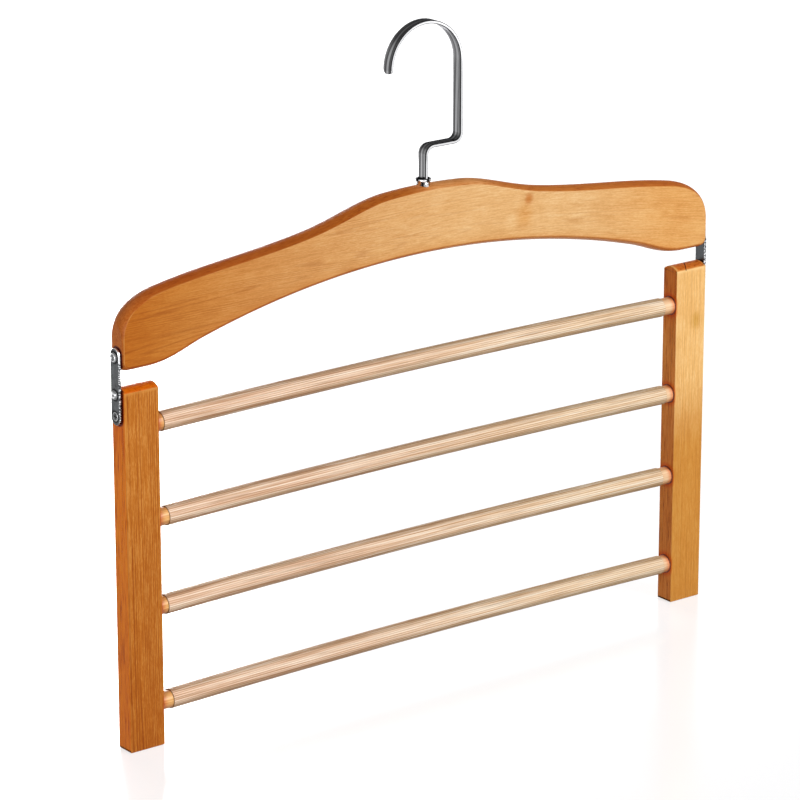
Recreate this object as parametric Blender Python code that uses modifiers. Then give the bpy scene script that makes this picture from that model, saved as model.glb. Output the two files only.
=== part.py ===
"""Wooden trouser hanger with four sleeved bars, modelled piece by piece.

Metres, +Z up, +X along the bars, -Y the front. The origin is the point inside the crown
of the hook that bears on the wardrobe rail, above the middle of the yoke.
"""

import math

import bmesh
import bpy
from mathutils import Vector
from mathutils.geometry import interpolate_bezier

# Wooden yoke, a board sawn to shape with a crowned edge all round
OVERALL_WIDTH = 0.445  # over the outer faces of the posts and the flat ends of the yoke
BOARD = 0.0130  # thickness of the yoke and of the posts
EDGE_CROWN = 0.0025  # how far the rounded edge stands out at mid thickness
END_OVERHANG = 0.0016  # crown that is sawn off flat at each end of the yoke
HUMP_EDGE = 0.028  # from the middle to where the hump starts to fall
HUMP_EDGE_DROP = 0.0010
SHOULDER = 0.057  # from the middle to the steepest stretch of the shoulder
SHOULDER_DROP = 0.0070  # below the top of the hump, like the other drops
SHOULDER_SLOPE = 0.285
ARM_START = 0.088
ARM_START_DROP = 0.0148
ARM_START_SLOPE = 0.178
ARM_MIDDLE = 0.140
ARM_MIDDLE_DROP = 0.0217
ARM_MIDDLE_SLOPE = 0.106
ARM_END_DROP = 0.0290  # where the rounding of the end starts
ARM_END_SLOPE = 0.193
END_ROUND_RUN = 0.0295  # length of the end rounding along the arm
END_ROUND_DROP = 0.0280  # its depth
YOKE_DEPTH = 0.0425  # board depth at the middle
YOKE_DROP = 0.0758  # from the top of the hump to the lowest edge at the ends
TOE_RADIUS = 0.0065  # lower corner at each end
TOE_FLAT = 0.012  # level stretch of the lower edge before that corner
HEEL_RUN = 0.042  # curve that joins the level stretch to the arch
ARCH_RADIUS = 0.600  # lower edge, between the level stretches

# Hook, bent from flat strip with a round shank at its foot
STRIP_WIDTH = 0.0078
STRIP_THICKNESS = 0.0020
STRIP_EDGE = 0.0004
HOOK_INNER_RADIUS = 0.0253
HOOK_REACH = 0.0990  # from the rail down to the top of the yoke
TIP_DROP = 0.0020  # straight stretch past the half circle
TIP_RADIUS = 0.0028  # corners of the tip
JOG_RISE = 0.0236  # level stretch of the strip above the top of the yoke
BEND_RADIUS = 0.0052  # centre line of the two bends
SHANK_RADIUS = 0.0025
SHANK_HEAD_RADIUS = 0.0032  # foot of the shank, peened over below the insert
SHANK_HEAD_HEIGHT = 0.0015

# Ferrule in the top of the yoke, and the threaded insert below it
FERRULE_RISE = 0.0038
FERRULE_RIM_RADIUS = 0.0048
FERRULE_RIM_HEIGHT = 0.0015
FERRULE_WAIST_RADIUS = 0.0041
FERRULE_MOUTH_RADIUS = 0.0038
FERRULE_MOUTH_DEPTH = 0.0022
FERRULE_SINK = 0.0011  # seat sunk below the crown of the yoke
SPIGOT_RADIUS = 0.0035
SPIGOT_LENGTH = 0.0060
INSERT_LENGTH = 0.0180

# Posts
POST_WIDTH = 0.0240
POST_HEIGHT = 0.2256  # to the top of its crown
POST_GAP = 0.0099  # between the yoke's lowest edge and the post
POST_EDGE = 0.0006

# Bars, from the top one down: a dowel with a thin ribbed sleeve pushed over it
TOP_BAR_DROP = 0.0260  # below the top of the post
BOTTOM_BAR_RISE = 0.0251  # above the foot
BAR_STATIONS = (0.0, 0.337, 0.653, 1.0)  # share of the way down from the top bar to the bottom one
BAR_CAMBER = 0.0023  # rise of a bar at mid span
DOWEL_RADIUS = 0.0055
DOWEL_DEPTH = 0.0140  # in each post
SLEEVE_WALL = 0.0004
SLEEVE_BARE_END = 0.0066  # bare dowel at each end of a centred sleeve
SLEEVE_SHIFTS = (-0.0023, 0.0004, -0.0013, 0.0012)  # how far each sleeve sits towards the right post

# Link plates and their screws
PLATE_WIDTH = 0.0085
PLATE_THICKNESS = 0.0018
PLATE_END = 0.0053  # from the outer holes to the ends of the plate
PIVOT_RISE = 0.0089  # pivot screw above the yoke's lowest edge
UPPER_SCREW_DROP = 0.0040  # below the top of the post
SCREW_SPACING = 0.0131
PIVOT_SHANK_RADIUS = 0.0017
PIVOT_HEAD_RADIUS = 0.0031
PIVOT_HEAD_HEIGHT = 0.0012
SCREW_SHANK_RADIUS = 0.0014
SCREW_HEAD_RADIUS = 0.0029
SCREW_HEAD_HEIGHT = 0.0018
SUNK_HEAD_RADIUS = 0.0028
SUNK_HEAD_DEPTH = 0.0013
SCREW_LENGTH = 0.0150
SCREW_POINT = 0.0030
RECESS_WIDTH = 0.0008
RECESS_SHARE = 0.62  # length of the cross recess as a share of the head's width
RECESS_DEPTH = 0.0007

# Fits
CLEARANCE = 0.0003  # between pieces that seat on or in each other
SLEEVE_FIT = 0.00015  # between a dowel and the bore of its sleeve
OVERCUT = 0.004  # how far cutters run past the faces they cut
WELD = 0.00001

# Facets
ROUND = 24
FINE_ROUND = 20
ARC_STEPS = 6
CROWN_STEPS = 4
BAR_STEPS = 8

# Places that follow from the sizes
HALF_WIDTH = OVERALL_WIDTH / 2
YOKE_TOP = -HOOK_REACH
YOKE_BOTTOM = YOKE_TOP - YOKE_DROP
PIVOT_Z = YOKE_BOTTOM + PIVOT_RISE
POST_TOP = YOKE_BOTTOM - POST_GAP
FOOT = POST_TOP - POST_HEIGHT
POST_X = HALF_WIDTH - POST_WIDTH / 2
INNER_FACE = HALF_WIDTH - POST_WIDTH
UPPER_SCREW_Z = POST_TOP - UPPER_SCREW_DROP
LOWER_SCREW_Z = UPPER_SCREW_Z - SCREW_SPACING
TOP_BAR_Z = POST_TOP - TOP_BAR_DROP
BOTTOM_BAR_Z = FOOT + BOTTOM_BAR_RISE
BAR_LEVELS = [TOP_BAR_Z + (BOTTOM_BAR_Z - TOP_BAR_Z) * share for share in BAR_STATIONS]
PLATE_TOP = PIVOT_Z + PLATE_END
PLATE_BOTTOM = LOWER_SCREW_Z - PLATE_END
PLATE_X = HALF_WIDTH + CLEARANCE
PLATE_FACE = PLATE_X + PLATE_THICKNESS
CROWN_RADIUS = ((BOARD / 2) ** 2 + EDGE_CROWN**2) / (2 * EDGE_CROWN)
SHANK_HOLE_RADIUS = SHANK_RADIUS + CLEARANCE
SOCKET_RADIUS = SPIGOT_RADIUS + CLEARANCE
INSERT_TOP = YOKE_TOP - FERRULE_SINK - SPIGOT_LENGTH - CLEARANCE
INSERT_BOTTOM = INSERT_TOP - INSERT_LENGTH
SHANK_FOOT = INSERT_BOTTOM - CLEARANCE - SHANK_HEAD_HEIGHT
SOCKET_BOTTOM = SHANK_FOOT - CLEARANCE
FERRULE_TOP = YOKE_TOP + FERRULE_RISE
STRIP_FOOT = FERRULE_TOP + CLEARANCE
SIDES = (("left", -1), ("right", 1))

LACQUERED = {"color": (0.78, 0.42, 0.15), "roughness": 0.32, "metallic": 0.0}
BARE_WOOD = {"color": (0.84, 0.55, 0.25), "roughness": 0.45, "metallic": 0.0}
RIBBED = {"color": (0.80, 0.66, 0.50), "roughness": 0.5, "metallic": 0.0}
CHROMED = {"color": (0.72, 0.72, 0.74), "roughness": 0.12, "metallic": 1.0}
PLATED = {"color": (0.45, 0.46, 0.47), "roughness": 0.3, "metallic": 1.0}
BRASSY = {"color": (0.75, 0.62, 0.32), "roughness": 0.35, "metallic": 1.0}


def clear_scene():
    for obj in list(bpy.data.objects):
        bpy.data.objects.remove(obj)


def new_collection(name):
    collection = bpy.data.collections.new(name)
    bpy.context.scene.collection.children.link(collection)
    return collection


def move_to(obj, collection):
    for old in list(obj.users_collection):
        old.objects.unlink(obj)
    collection.objects.link(obj)
    return obj


def finish_piece(obj, name, finish, axis=None):
    """Names a piece, gives it its own material and hangs it on its joint's axis, if it has one."""
    obj.name = name
    obj.data.name = name
    material = bpy.data.materials.new(name)
    material.use_nodes = True
    shader = material.node_tree.nodes["Principled BSDF"]
    shader.inputs["Base Color"].default_value = (*finish["color"], 1.0)
    shader.inputs["Roughness"].default_value = finish["roughness"]
    shader.inputs["Metallic"].default_value = finish["metallic"]
    obj.data.materials.clear()
    obj.data.materials.append(material)
    move_to(obj, PIECES)
    if axis:
        bpy.context.view_layer.update()
        obj.parent = axis
        obj.matrix_parent_inverse = axis.matrix_world.inverted()
    return obj


def joint_axis(name, place):
    """An empty on a joint's axis, which the pieces that turn about it are parented to."""
    empty = bpy.data.objects.new(name, None)
    empty.location = place
    PIECES.objects.link(empty)
    bpy.context.view_layer.update()
    return empty


def mesh_object(name, mesh):
    obj = bpy.data.objects.new(name, mesh)
    PIECES.objects.link(obj)
    return obj


def to_mesh(curve_object):
    """The curve as a mesh with its caps welded, in the same place; the curve goes."""
    bpy.context.view_layer.update()
    evaluated = curve_object.evaluated_get(bpy.context.evaluated_depsgraph_get())
    mesh = bpy.data.meshes.new_from_object(evaluated)
    bm = bmesh.new()
    bm.from_mesh(mesh)
    bmesh.ops.remove_doubles(bm, verts=bm.verts, dist=WELD)
    bmesh.ops.recalc_face_normals(bm, faces=bm.faces)
    bm.to_mesh(mesh)
    bm.free()
    obj = mesh_object(curve_object.name, mesh)
    obj.matrix_world = curve_object.matrix_world.copy()
    bpy.data.objects.remove(curve_object)
    return obj


def smooth(obj, angle=35):
    obj.data.shade_smooth()
    obj.data.set_sharp_from_angle(angle=math.radians(angle))
    return obj


def plate_from_outline(name, outline, thickness, rotation):
    """A closed 2D outline filled on both sides and extruded to the thickness."""
    curve = bpy.data.curves.new(name, "CURVE")
    curve.dimensions = "2D"
    curve.fill_mode = "BOTH"
    curve.extrude = thickness / 2
    spline = curve.splines.new("POLY")
    spline.points.add(len(outline) - 1)
    for point, (across, along) in zip(spline.points, outline):
        point.co = (across, along, 0.0, 1.0)
    spline.use_cyclic_u = True
    obj = bpy.data.objects.new(name, curve)
    obj.rotation_euler = rotation
    PIECES.objects.link(obj)
    return obj


def tube(name, points, radius, bevel_resolution):
    """A round bar along the points, with closed ends."""
    curve = bpy.data.curves.new(name, "CURVE")
    curve.dimensions = "3D"
    curve.bevel_depth = radius
    curve.bevel_resolution = bevel_resolution
    curve.use_fill_caps = True
    spline = curve.splines.new("POLY")
    spline.points.add(len(points) - 1)
    for point, place in zip(spline.points, points):
        point.co = (*place, 1.0)
    obj = bpy.data.objects.new(name, curve)
    PIECES.objects.link(obj)
    return to_mesh(obj)


def turned(name, profile, steps, cyclic):
    """A profile of (radius, height) points carried once round +Z.

    An open profile starts and ends on the axis; a cyclic one is a ring's section.
    It runs down the outer side."""
    mesh = bpy.data.meshes.new(name)
    count = len(profile)
    edges = [(i, i + 1) for i in range(count - 1)]
    if cyclic:
        edges.append((count - 1, 0))
    mesh.from_pydata([(radius, 0.0, height) for radius, height in profile], edges, [])
    obj = mesh_object(name, mesh)
    screw = obj.modifiers.new("Turn", "SCREW")
    screw.axis = "Z"
    screw.angle = 2 * math.pi
    screw.steps = steps
    screw.render_steps = steps
    screw.use_merge_vertices = True
    screw.merge_threshold = WELD
    screw.use_smooth_shade = False
    return obj


def as_cutter(obj):
    obj.display_type = "WIRE"
    obj.hide_render = True
    return move_to(obj, CUTTERS)


def cylinder_cutter(radius, length, place, rotation=(0.0, 0.0, 0.0), vertices=ROUND):
    bpy.ops.mesh.primitive_cylinder_add(
        vertices=vertices, radius=radius, depth=length, location=place, rotation=rotation
    )
    return as_cutter(bpy.context.object)


def box_cutter(size, place, rotation=(0.0, 0.0, 0.0)):
    bpy.ops.mesh.primitive_cube_add(size=1.0, location=place, rotation=rotation)
    obj = bpy.context.object
    obj.scale = size
    bpy.ops.object.transform_apply(location=False, rotation=False, scale=True)
    return as_cutter(obj)


def boolean(obj, other, operation="DIFFERENCE"):
    modifier = obj.modifiers.new(operation.title(), "BOOLEAN")
    modifier.operation = operation
    modifier.solver = "EXACT"
    modifier.object = other


def side_hole(side, radius, inward, outward, height):
    """Cutter for a hole along X from the inside station to the outside one."""
    length = abs(outward - inward)
    middle = side * (outward + inward) / 2
    return cylinder_cutter(radius, length, (middle, 0.0, height), (0.0, math.pi / 2, 0.0))


def bezier_run(knots, steps):
    """Points along cubic Bezier spans. Each knot is (point, handle before, handle after)."""
    points = []
    for (start, _, leave), (end, arrive, _) in zip(knots, knots[1:]):
        span = interpolate_bezier(
            Vector((*start, 0.0)), Vector((*leave, 0.0)),
            Vector((*arrive, 0.0)), Vector((*end, 0.0)), steps + 1,
        )
        points.extend((p.x, p.y) for p in span[:-1])
    points.append(knots[-1][0])
    return points


def knot(x, drop, slope, before, after):
    """A knot on the crest line, with handles along the slope that end before and after it in X."""
    return ((x, -drop), (before, -drop + slope * (x - before)), (after, -drop - slope * (after - x)))


def yoke_half_outline():
    """Crest line of the right half of the yoke, from the top middle round to the lower middle."""
    end = HALF_WIDTH + END_OVERHANG
    arm_end = end - END_ROUND_RUN
    stations = [
        (0.0, 0.0, 0.0),
        (HUMP_EDGE, HUMP_EDGE_DROP, HUMP_EDGE_DROP / HUMP_EDGE * 2),
        (SHOULDER, SHOULDER_DROP, SHOULDER_SLOPE),
        (ARM_START, ARM_START_DROP, ARM_START_SLOPE),
        (ARM_MIDDLE, ARM_MIDDLE_DROP, ARM_MIDDLE_SLOPE),
        (arm_end, ARM_END_DROP, ARM_END_SLOPE),
    ]
    places = [x for x, _, _ in stations]
    befores = places[:1] + [x - (x - last) / 3 for last, x in zip(places, places[1:])]
    afters = [x + (nxt - x) / 3 for x, nxt in zip(places, places[1:])] + places[-1:]
    top = [knot(*station, *reach) for station, reach in zip(stations, zip(befores, afters))]
    run = bezier_run(top, ARC_STEPS)
    start, finish = (arm_end, -ARM_END_DROP), (end, -ARM_END_DROP - END_ROUND_DROP)
    lead = 0.6 * END_ROUND_RUN
    corner = [
        (start, start, (arm_end + lead, -ARM_END_DROP - lead * ARM_END_SLOPE)),
        (finish, (end, -ARM_END_DROP - 0.42 * END_ROUND_DROP), finish),
    ]
    run += bezier_run(corner, 2 * ARC_STEPS)[1:]
    toe_x, toe_z = end - TOE_RADIUS, -YOKE_DROP + TOE_RADIUS
    for i in range(ARC_STEPS + 1):
        angle = -math.pi / 2 * i / ARC_STEPS
        run.append((toe_x + TOE_RADIUS * math.cos(angle), toe_z + TOE_RADIUS * math.sin(angle)))
    level_end = toe_x - TOE_FLAT
    arch_end = level_end - HEEL_RUN
    arch_z = -YOKE_DEPTH - ARCH_RADIUS + math.sqrt(ARCH_RADIUS**2 - arch_end**2)
    arch_slope = -arch_end / math.sqrt(ARCH_RADIUS**2 - arch_end**2)
    heel = [
        (
            (level_end, -YOKE_DROP),
            (level_end, -YOKE_DROP),
            (level_end - 0.43 * HEEL_RUN, -YOKE_DROP),
        ),
        (
            (arch_end, arch_z),
            (arch_end + HEEL_RUN / 3, arch_z + arch_slope * HEEL_RUN / 3),
            (arch_end, arch_z),
        ),
    ]
    run += bezier_run(heel, ARC_STEPS)
    arch_steps = 3 * ARC_STEPS
    for i in range(1, arch_steps + 1):
        x = arch_end * (1 - i / arch_steps)
        run.append((x, -YOKE_DEPTH - ARCH_RADIUS + math.sqrt(ARCH_RADIUS**2 - x**2)))
    return run


def crown_insets(steps):
    """Steps from mid thickness to the face: how far in and how far out each one goes."""
    edge = math.asin(BOARD / 2 / CROWN_RADIUS)
    depths = [CROWN_RADIUS * math.sin(edge * i / steps) for i in range(steps + 1)]
    insets = [CROWN_RADIUS * (1 - math.cos(edge * i / steps)) for i in range(steps + 1)]
    return [(insets[i + 1] - insets[i], depths[i + 1] - depths[i]) for i in range(steps)]


def crowned_board(name, outline):
    """A board whose edge is an arc across its thickness: half of it inset step by step
    from the crest line to the face, and mirrored about its middle plane."""
    bm = bmesh.new()
    face = bm.faces.new([bm.verts.new((x, 0.0, z)) for x, z in outline])
    face.normal_update()
    if face.normal.y > 0:
        face.normal_flip()
    for inset, depth in crown_insets(CROWN_STEPS):
        bmesh.ops.inset_region(
            bm, faces=[face], thickness=inset, depth=depth, use_boundary=True, use_even_offset=True
        )
    mesh = bpy.data.meshes.new(name)
    bm.to_mesh(mesh)
    bm.free()
    board = mesh_object(name, mesh)
    mirror = board.modifiers.new("Other face", "MIRROR")
    mirror.use_axis = (False, True, False)
    mirror.merge_threshold = WELD
    return board


def make_yoke():
    half = yoke_half_outline()
    outline = half + [(-x, z) for x, z in half[-2:0:-1]]
    yoke = crowned_board("yoke", outline)
    yoke.location = (0.0, 0.0, YOKE_TOP)
    for _, side in SIDES:
        reach = YOKE_DROP + 2 * OVERCUT
        place = (side * (HALF_WIDTH + OVERCUT), 0.0, -YOKE_DROP / 2 + YOKE_TOP)
        boolean(yoke, box_cutter((2 * OVERCUT, 2 * BOARD, reach), place))
        tip = HALF_WIDTH - SCREW_LENGTH - CLEARANCE
        hole = PIVOT_SHANK_RADIUS + CLEARANCE
        boolean(yoke, side_hole(side, hole, tip, HALF_WIDTH + OVERCUT, PIVOT_Z))
    depth = YOKE_TOP + OVERCUT - SOCKET_BOTTOM
    place = (0.0, 0.0, SOCKET_BOTTOM + depth / 2)
    boolean(yoke, cylinder_cutter(SOCKET_RADIUS, depth, place))
    seat = YOKE_TOP - FERRULE_SINK - CLEARANCE
    place = (0.0, 0.0, seat + OVERCUT / 2)
    boolean(yoke, cylinder_cutter(FERRULE_WAIST_RADIUS + CLEARANCE, OVERCUT, place))
    return finish_piece(yoke, "yoke", LACQUERED)


def hook_path():
    """Centre line of the strip in the XZ plane, from the tip to the foot."""
    radius = HOOK_INNER_RADIUS + STRIP_THICKNESS / 2
    centre = -HOOK_INNER_RADIUS
    jog = YOKE_TOP + JOG_RISE
    points = [(-radius, centre - TIP_DROP)]
    turn = 5 * ARC_STEPS
    for i in range(turn + 1):
        angle = math.pi * (1 - i / turn)
        points.append((radius * math.cos(angle), centre + radius * math.sin(angle)))
    for i in range(ARC_STEPS + 1):
        angle = -math.pi / 2 * i / ARC_STEPS
        points.append(
            (
                radius - BEND_RADIUS + BEND_RADIUS * math.cos(angle),
                jog + BEND_RADIUS + BEND_RADIUS * math.sin(angle),
            )
        )
    for i in range(ARC_STEPS + 1):
        angle = math.pi / 2 * (1 + i / ARC_STEPS)
        points.append(
            (
                BEND_RADIUS + BEND_RADIUS * math.cos(angle),
                jog - BEND_RADIUS + BEND_RADIUS * math.sin(angle),
            )
        )
    points.append((0.0, STRIP_FOOT))
    return points


def strip_section():
    """The strip's section as a closed curve: its thickness by its width, corners eased."""
    curve = bpy.data.curves.new("strip_section", "CURVE")
    curve.dimensions = "2D"
    curve.fill_mode = "NONE"
    half_t, half_w, ease = STRIP_THICKNESS / 2, STRIP_WIDTH / 2, STRIP_EDGE
    corners = [
        (half_t - ease, -half_w), (half_t, -half_w + ease), (half_t, half_w - ease),
        (half_t - ease, half_w), (-half_t + ease, half_w), (-half_t, half_w - ease),
        (-half_t, -half_w + ease), (-half_t + ease, -half_w),
    ]
    spline = curve.splines.new("POLY")
    spline.points.add(len(corners) - 1)
    for point, (x, y) in zip(spline.points, corners):
        point.co = (x, y, 0.0, 1.0)
    spline.use_cyclic_u = True
    section = bpy.data.objects.new("strip_section", curve)
    return as_cutter(section)


def tip_corner_cutter(side):
    """Takes the square corner off the tip, leaving a quarter circle."""
    outline = [(TIP_RADIUS + OVERCUT, -OVERCUT), (-OVERCUT, -OVERCUT), (-OVERCUT, TIP_RADIUS)]
    for i in range(1, ARC_STEPS + 1):
        angle = math.pi * (1 + i / ARC_STEPS / 2)
        outline.append(
            (TIP_RADIUS + TIP_RADIUS * math.cos(angle), TIP_RADIUS + TIP_RADIUS * math.sin(angle))
        )
    outline = [(-side * (STRIP_WIDTH / 2 - across), up) for across, up in outline]
    upright = (math.pi / 2, 0.0, math.pi / 2)
    obj = plate_from_outline("tip_corner", outline, 3 * STRIP_THICKNESS, upright)
    radius = HOOK_INNER_RADIUS + STRIP_THICKNESS / 2
    obj.location = (-radius, 0.0, -HOOK_INNER_RADIUS - TIP_DROP)
    return as_cutter(to_mesh(obj))


def make_hook(axis):
    curve = bpy.data.curves.new("hook", "CURVE")
    curve.dimensions = "2D"
    curve.fill_mode = "NONE"
    curve.bevel_mode = "OBJECT"
    curve.bevel_object = strip_section()
    curve.use_fill_caps = True
    path = hook_path()
    spline = curve.splines.new("POLY")
    spline.points.add(len(path) - 1)
    for point, (x, z) in zip(spline.points, path):
        point.co = (x, z, 0.0, 1.0)
    obj = bpy.data.objects.new("hook", curve)
    obj.rotation_euler = (math.pi / 2, 0.0, 0.0)
    PIECES.objects.link(obj)
    hook = to_mesh(obj)
    for side in (-1, 1):
        boolean(hook, tip_corner_cutter(side))
    length = STRIP_FOOT + STRIP_THICKNESS - SHANK_FOOT
    place = (0.0, 0.0, SHANK_FOOT + length / 2)
    boolean(hook, cylinder_cutter(SHANK_RADIUS, length, place), "UNION")
    place = (0.0, 0.0, SHANK_FOOT + SHANK_HEAD_HEIGHT / 2)
    boolean(hook, cylinder_cutter(SHANK_HEAD_RADIUS, SHANK_HEAD_HEIGHT, place), "UNION")
    return finish_piece(hook, "hook", CHROMED, axis)


def make_ferrule():
    top, seat = FERRULE_TOP - YOKE_TOP, -FERRULE_SINK
    rim, lip = FERRULE_RIM_HEIGHT, (FERRULE_RIM_RADIUS - FERRULE_MOUTH_RADIUS) / 3
    profile = [
        (FERRULE_MOUTH_RADIUS, top - lip),
        (FERRULE_MOUTH_RADIUS + lip, top),
        (FERRULE_RIM_RADIUS - lip, top),
        (FERRULE_RIM_RADIUS, top - lip),
        (FERRULE_RIM_RADIUS, top - rim + lip),
        (FERRULE_WAIST_RADIUS, top - rim),
        (FERRULE_WAIST_RADIUS, seat),
        (SPIGOT_RADIUS, seat),
        (SPIGOT_RADIUS, seat - SPIGOT_LENGTH),
        (SHANK_HOLE_RADIUS, seat - SPIGOT_LENGTH),
        (SHANK_HOLE_RADIUS, top - FERRULE_MOUTH_DEPTH),
        (FERRULE_MOUTH_RADIUS, top - FERRULE_MOUTH_DEPTH),
    ]
    ferrule = turned("hook_ferrule", profile, ROUND, True)
    ferrule.location = (0.0, 0.0, YOKE_TOP)
    return finish_piece(ferrule, "hook_ferrule", CHROMED)


def make_insert():
    profile = [
        (SHANK_HOLE_RADIUS, 0.0),
        (SPIGOT_RADIUS, 0.0),
        (SPIGOT_RADIUS, -INSERT_LENGTH),
        (SHANK_HOLE_RADIUS, -INSERT_LENGTH),
    ]
    insert = turned("hook_insert", profile, ROUND, True)
    insert.location = (0.0, 0.0, INSERT_TOP)
    return finish_piece(insert, "hook_insert", BRASSY)


def make_post(side_name, side, axis):
    """A board on end: the top is an arc across its thickness, the foot is flat."""
    half = BOARD / 2
    edge = math.asin(half / CROWN_RADIUS)
    outline = [(-half, FOOT), (half, FOOT)]
    arc = 2 * ARC_STEPS
    for i in range(arc + 1):
        angle = edge * (1 - 2 * i / arc)
        drop = CROWN_RADIUS * (1 - math.cos(angle))
        outline.append((CROWN_RADIUS * math.sin(angle), POST_TOP - drop))
    upright = (math.pi / 2, 0.0, math.pi / 2)
    obj = plate_from_outline("post_" + side_name, outline, POST_WIDTH, upright)
    obj.location = (side * POST_X, 0.0, 0.0)
    post = to_mesh(obj)
    bevel = post.modifiers.new("Eased edges", "BEVEL")
    bevel.width = POST_EDGE
    bevel.segments = 2
    bevel.limit_method = "ANGLE"
    bevel.angle_limit = math.radians(40)
    for level in BAR_LEVELS:
        outward = INNER_FACE + DOWEL_DEPTH + CLEARANCE
        radius = DOWEL_RADIUS + CLEARANCE
        boolean(post, side_hole(side, radius, INNER_FACE - OVERCUT, outward, level))
    for height in (UPPER_SCREW_Z, LOWER_SCREW_Z):
        tip = HALF_WIDTH - SCREW_LENGTH - CLEARANCE
        radius = SCREW_SHANK_RADIUS + CLEARANCE
        boolean(post, side_hole(side, radius, tip, HALF_WIDTH + OVERCUT, height))
    return finish_piece(post, "post_" + side_name, LACQUERED, axis)


def bar_line(start, end, level):
    """Centre line of a bar: level in the posts and gently arched between them."""
    inner = [start + (end - start) * i / BAR_STEPS for i in range(BAR_STEPS + 1)]
    return [
        (x, 0.0, level + BAR_CAMBER * max(0.0, 1 - (x / INNER_FACE) ** 2)) for x in inner
    ]


def make_dowel(number, level, axis):
    end = INNER_FACE + DOWEL_DEPTH
    points = bar_line(-INNER_FACE, INNER_FACE, level)
    points = [(-end, 0.0, level)] + points + [(end, 0.0, level)]
    dowel = tube(f"dowel_{number}", points, DOWEL_RADIUS, ROUND // 2 - 2)
    return finish_piece(smooth(dowel), f"dowel_{number}", BARE_WOOD, axis)


def make_sleeve(number, level, shift, axis):
    half = INNER_FACE - SLEEVE_BARE_END
    bore_radius = DOWEL_RADIUS + SLEEVE_FIT
    start, end = shift - half, shift + half
    sides = ROUND // 2 - 2
    sleeve = tube(
        f"sleeve_{number}", bar_line(start, end, level), bore_radius + SLEEVE_WALL, sides
    )
    bore = tube(
        f"sleeve_bore_{number}", bar_line(start - OVERCUT, end + OVERCUT, level), bore_radius, sides
    )
    boolean(sleeve, as_cutter(bore))
    return finish_piece(smooth(sleeve), f"sleeve_{number}", RIBBED, axis)


def make_plate(side_name, side, axis):
    """A flat link with round ends: one hole for the pivot, two for the fixing screws."""
    radius = PLATE_WIDTH / 2
    outline = []
    turn = 2 * ARC_STEPS
    for centre, start in ((PLATE_TOP - radius, 0.0), (PLATE_BOTTOM + radius, math.pi)):
        for i in range(turn + 1):
            angle = start + math.pi * i / turn
            outline.append((radius * math.cos(angle), centre + radius * math.sin(angle)))
    upright = (math.pi / 2, 0.0, math.pi / 2)
    obj = plate_from_outline("link_plate_" + side_name, outline, PLATE_THICKNESS, upright)
    middle = PLATE_X + PLATE_THICKNESS / 2
    obj.location = (side * middle, 0.0, 0.0)
    plate = to_mesh(obj)
    inward, outward = PLATE_X - OVERCUT, PLATE_FACE + OVERCUT
    holes = ((PIVOT_SHANK_RADIUS, PIVOT_Z), (SCREW_SHANK_RADIUS, UPPER_SCREW_Z),
             (SCREW_SHANK_RADIUS, LOWER_SCREW_Z))
    for hole, height in holes:
        boolean(plate, side_hole(side, hole + CLEARANCE, inward, outward, height))
    sink = SUNK_HEAD_RADIUS - SCREW_SHANK_RADIUS
    profile = [
        (0.0, OVERCUT),
        (SUNK_HEAD_RADIUS + CLEARANCE, OVERCUT),
        (SUNK_HEAD_RADIUS + CLEARANCE, 0.0),
        (SUNK_HEAD_RADIUS + CLEARANCE - sink, -SUNK_HEAD_DEPTH),
        (0.0, -SUNK_HEAD_DEPTH),
    ]
    countersink = turned("countersink_" + side_name, profile, FINE_ROUND, False)
    countersink.location = (side * PLATE_FACE, 0.0, LOWER_SCREW_Z)
    countersink.rotation_euler = (0.0, side * math.pi / 2, 0.0)
    boolean(plate, as_cutter(countersink))
    return finish_piece(plate, "link_plate_" + side_name, PLATED, axis)


def dome_profile(radius, height, steps=3):
    """Points down a domed head from its middle to its rim."""
    ball = (radius**2 + height**2) / (2 * height)
    edge = math.asin(radius / ball)
    points = []
    for i in range(steps + 1):
        angle = edge * i / steps
        points.append((ball * math.sin(angle), height - ball * (1 - math.cos(angle))))
    return points


def screw(name, side, height, head, shank, seat_x, head_height, head_radius, axis):
    """A wood screw driven along X. Its head stands from seat_x and its point is in the wood."""
    tip = HALF_WIDTH - SCREW_LENGTH - seat_x
    profile = head + [(shank, tip + SCREW_POINT), (0.0, tip)]
    obj = turned(name, profile, FINE_ROUND, False)
    obj.location = (side * seat_x, 0.0, height)
    obj.rotation_euler = (0.0, side * math.pi / 2, 0.0)
    length = 2 * head_radius * RECESS_SHARE
    for turn in (0, 1):
        size = (OVERCUT, RECESS_WIDTH, length)
        if turn:
            size = (OVERCUT, length, RECESS_WIDTH)
        face = seat_x + head_height - RECESS_DEPTH + OVERCUT / 2
        boolean(obj, box_cutter(size, (side * face, 0.0, height)))
    return finish_piece(obj, name, PLATED, axis)


def make_pivot_screw(side_name, side):
    seat = PLATE_FACE + CLEARANCE
    head = dome_profile(PIVOT_HEAD_RADIUS, PIVOT_HEAD_HEIGHT)
    head += [(PIVOT_HEAD_RADIUS, 0.0), (PIVOT_SHANK_RADIUS, 0.0)]
    return screw(
        "pivot_screw_" + side_name, side, PIVOT_Z, head, PIVOT_SHANK_RADIUS,
        seat, PIVOT_HEAD_HEIGHT, PIVOT_HEAD_RADIUS, None,
    )


def make_upper_screw(side_name, side, axis):
    seat = PLATE_FACE + CLEARANCE
    head = dome_profile(SCREW_HEAD_RADIUS, SCREW_HEAD_HEIGHT)
    head += [(SCREW_HEAD_RADIUS, 0.0), (SCREW_SHANK_RADIUS, 0.0)]
    return screw(
        "plate_screw_upper_" + side_name, side, UPPER_SCREW_Z, head, SCREW_SHANK_RADIUS,
        seat, SCREW_HEAD_HEIGHT, SCREW_HEAD_RADIUS, axis,
    )


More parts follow.
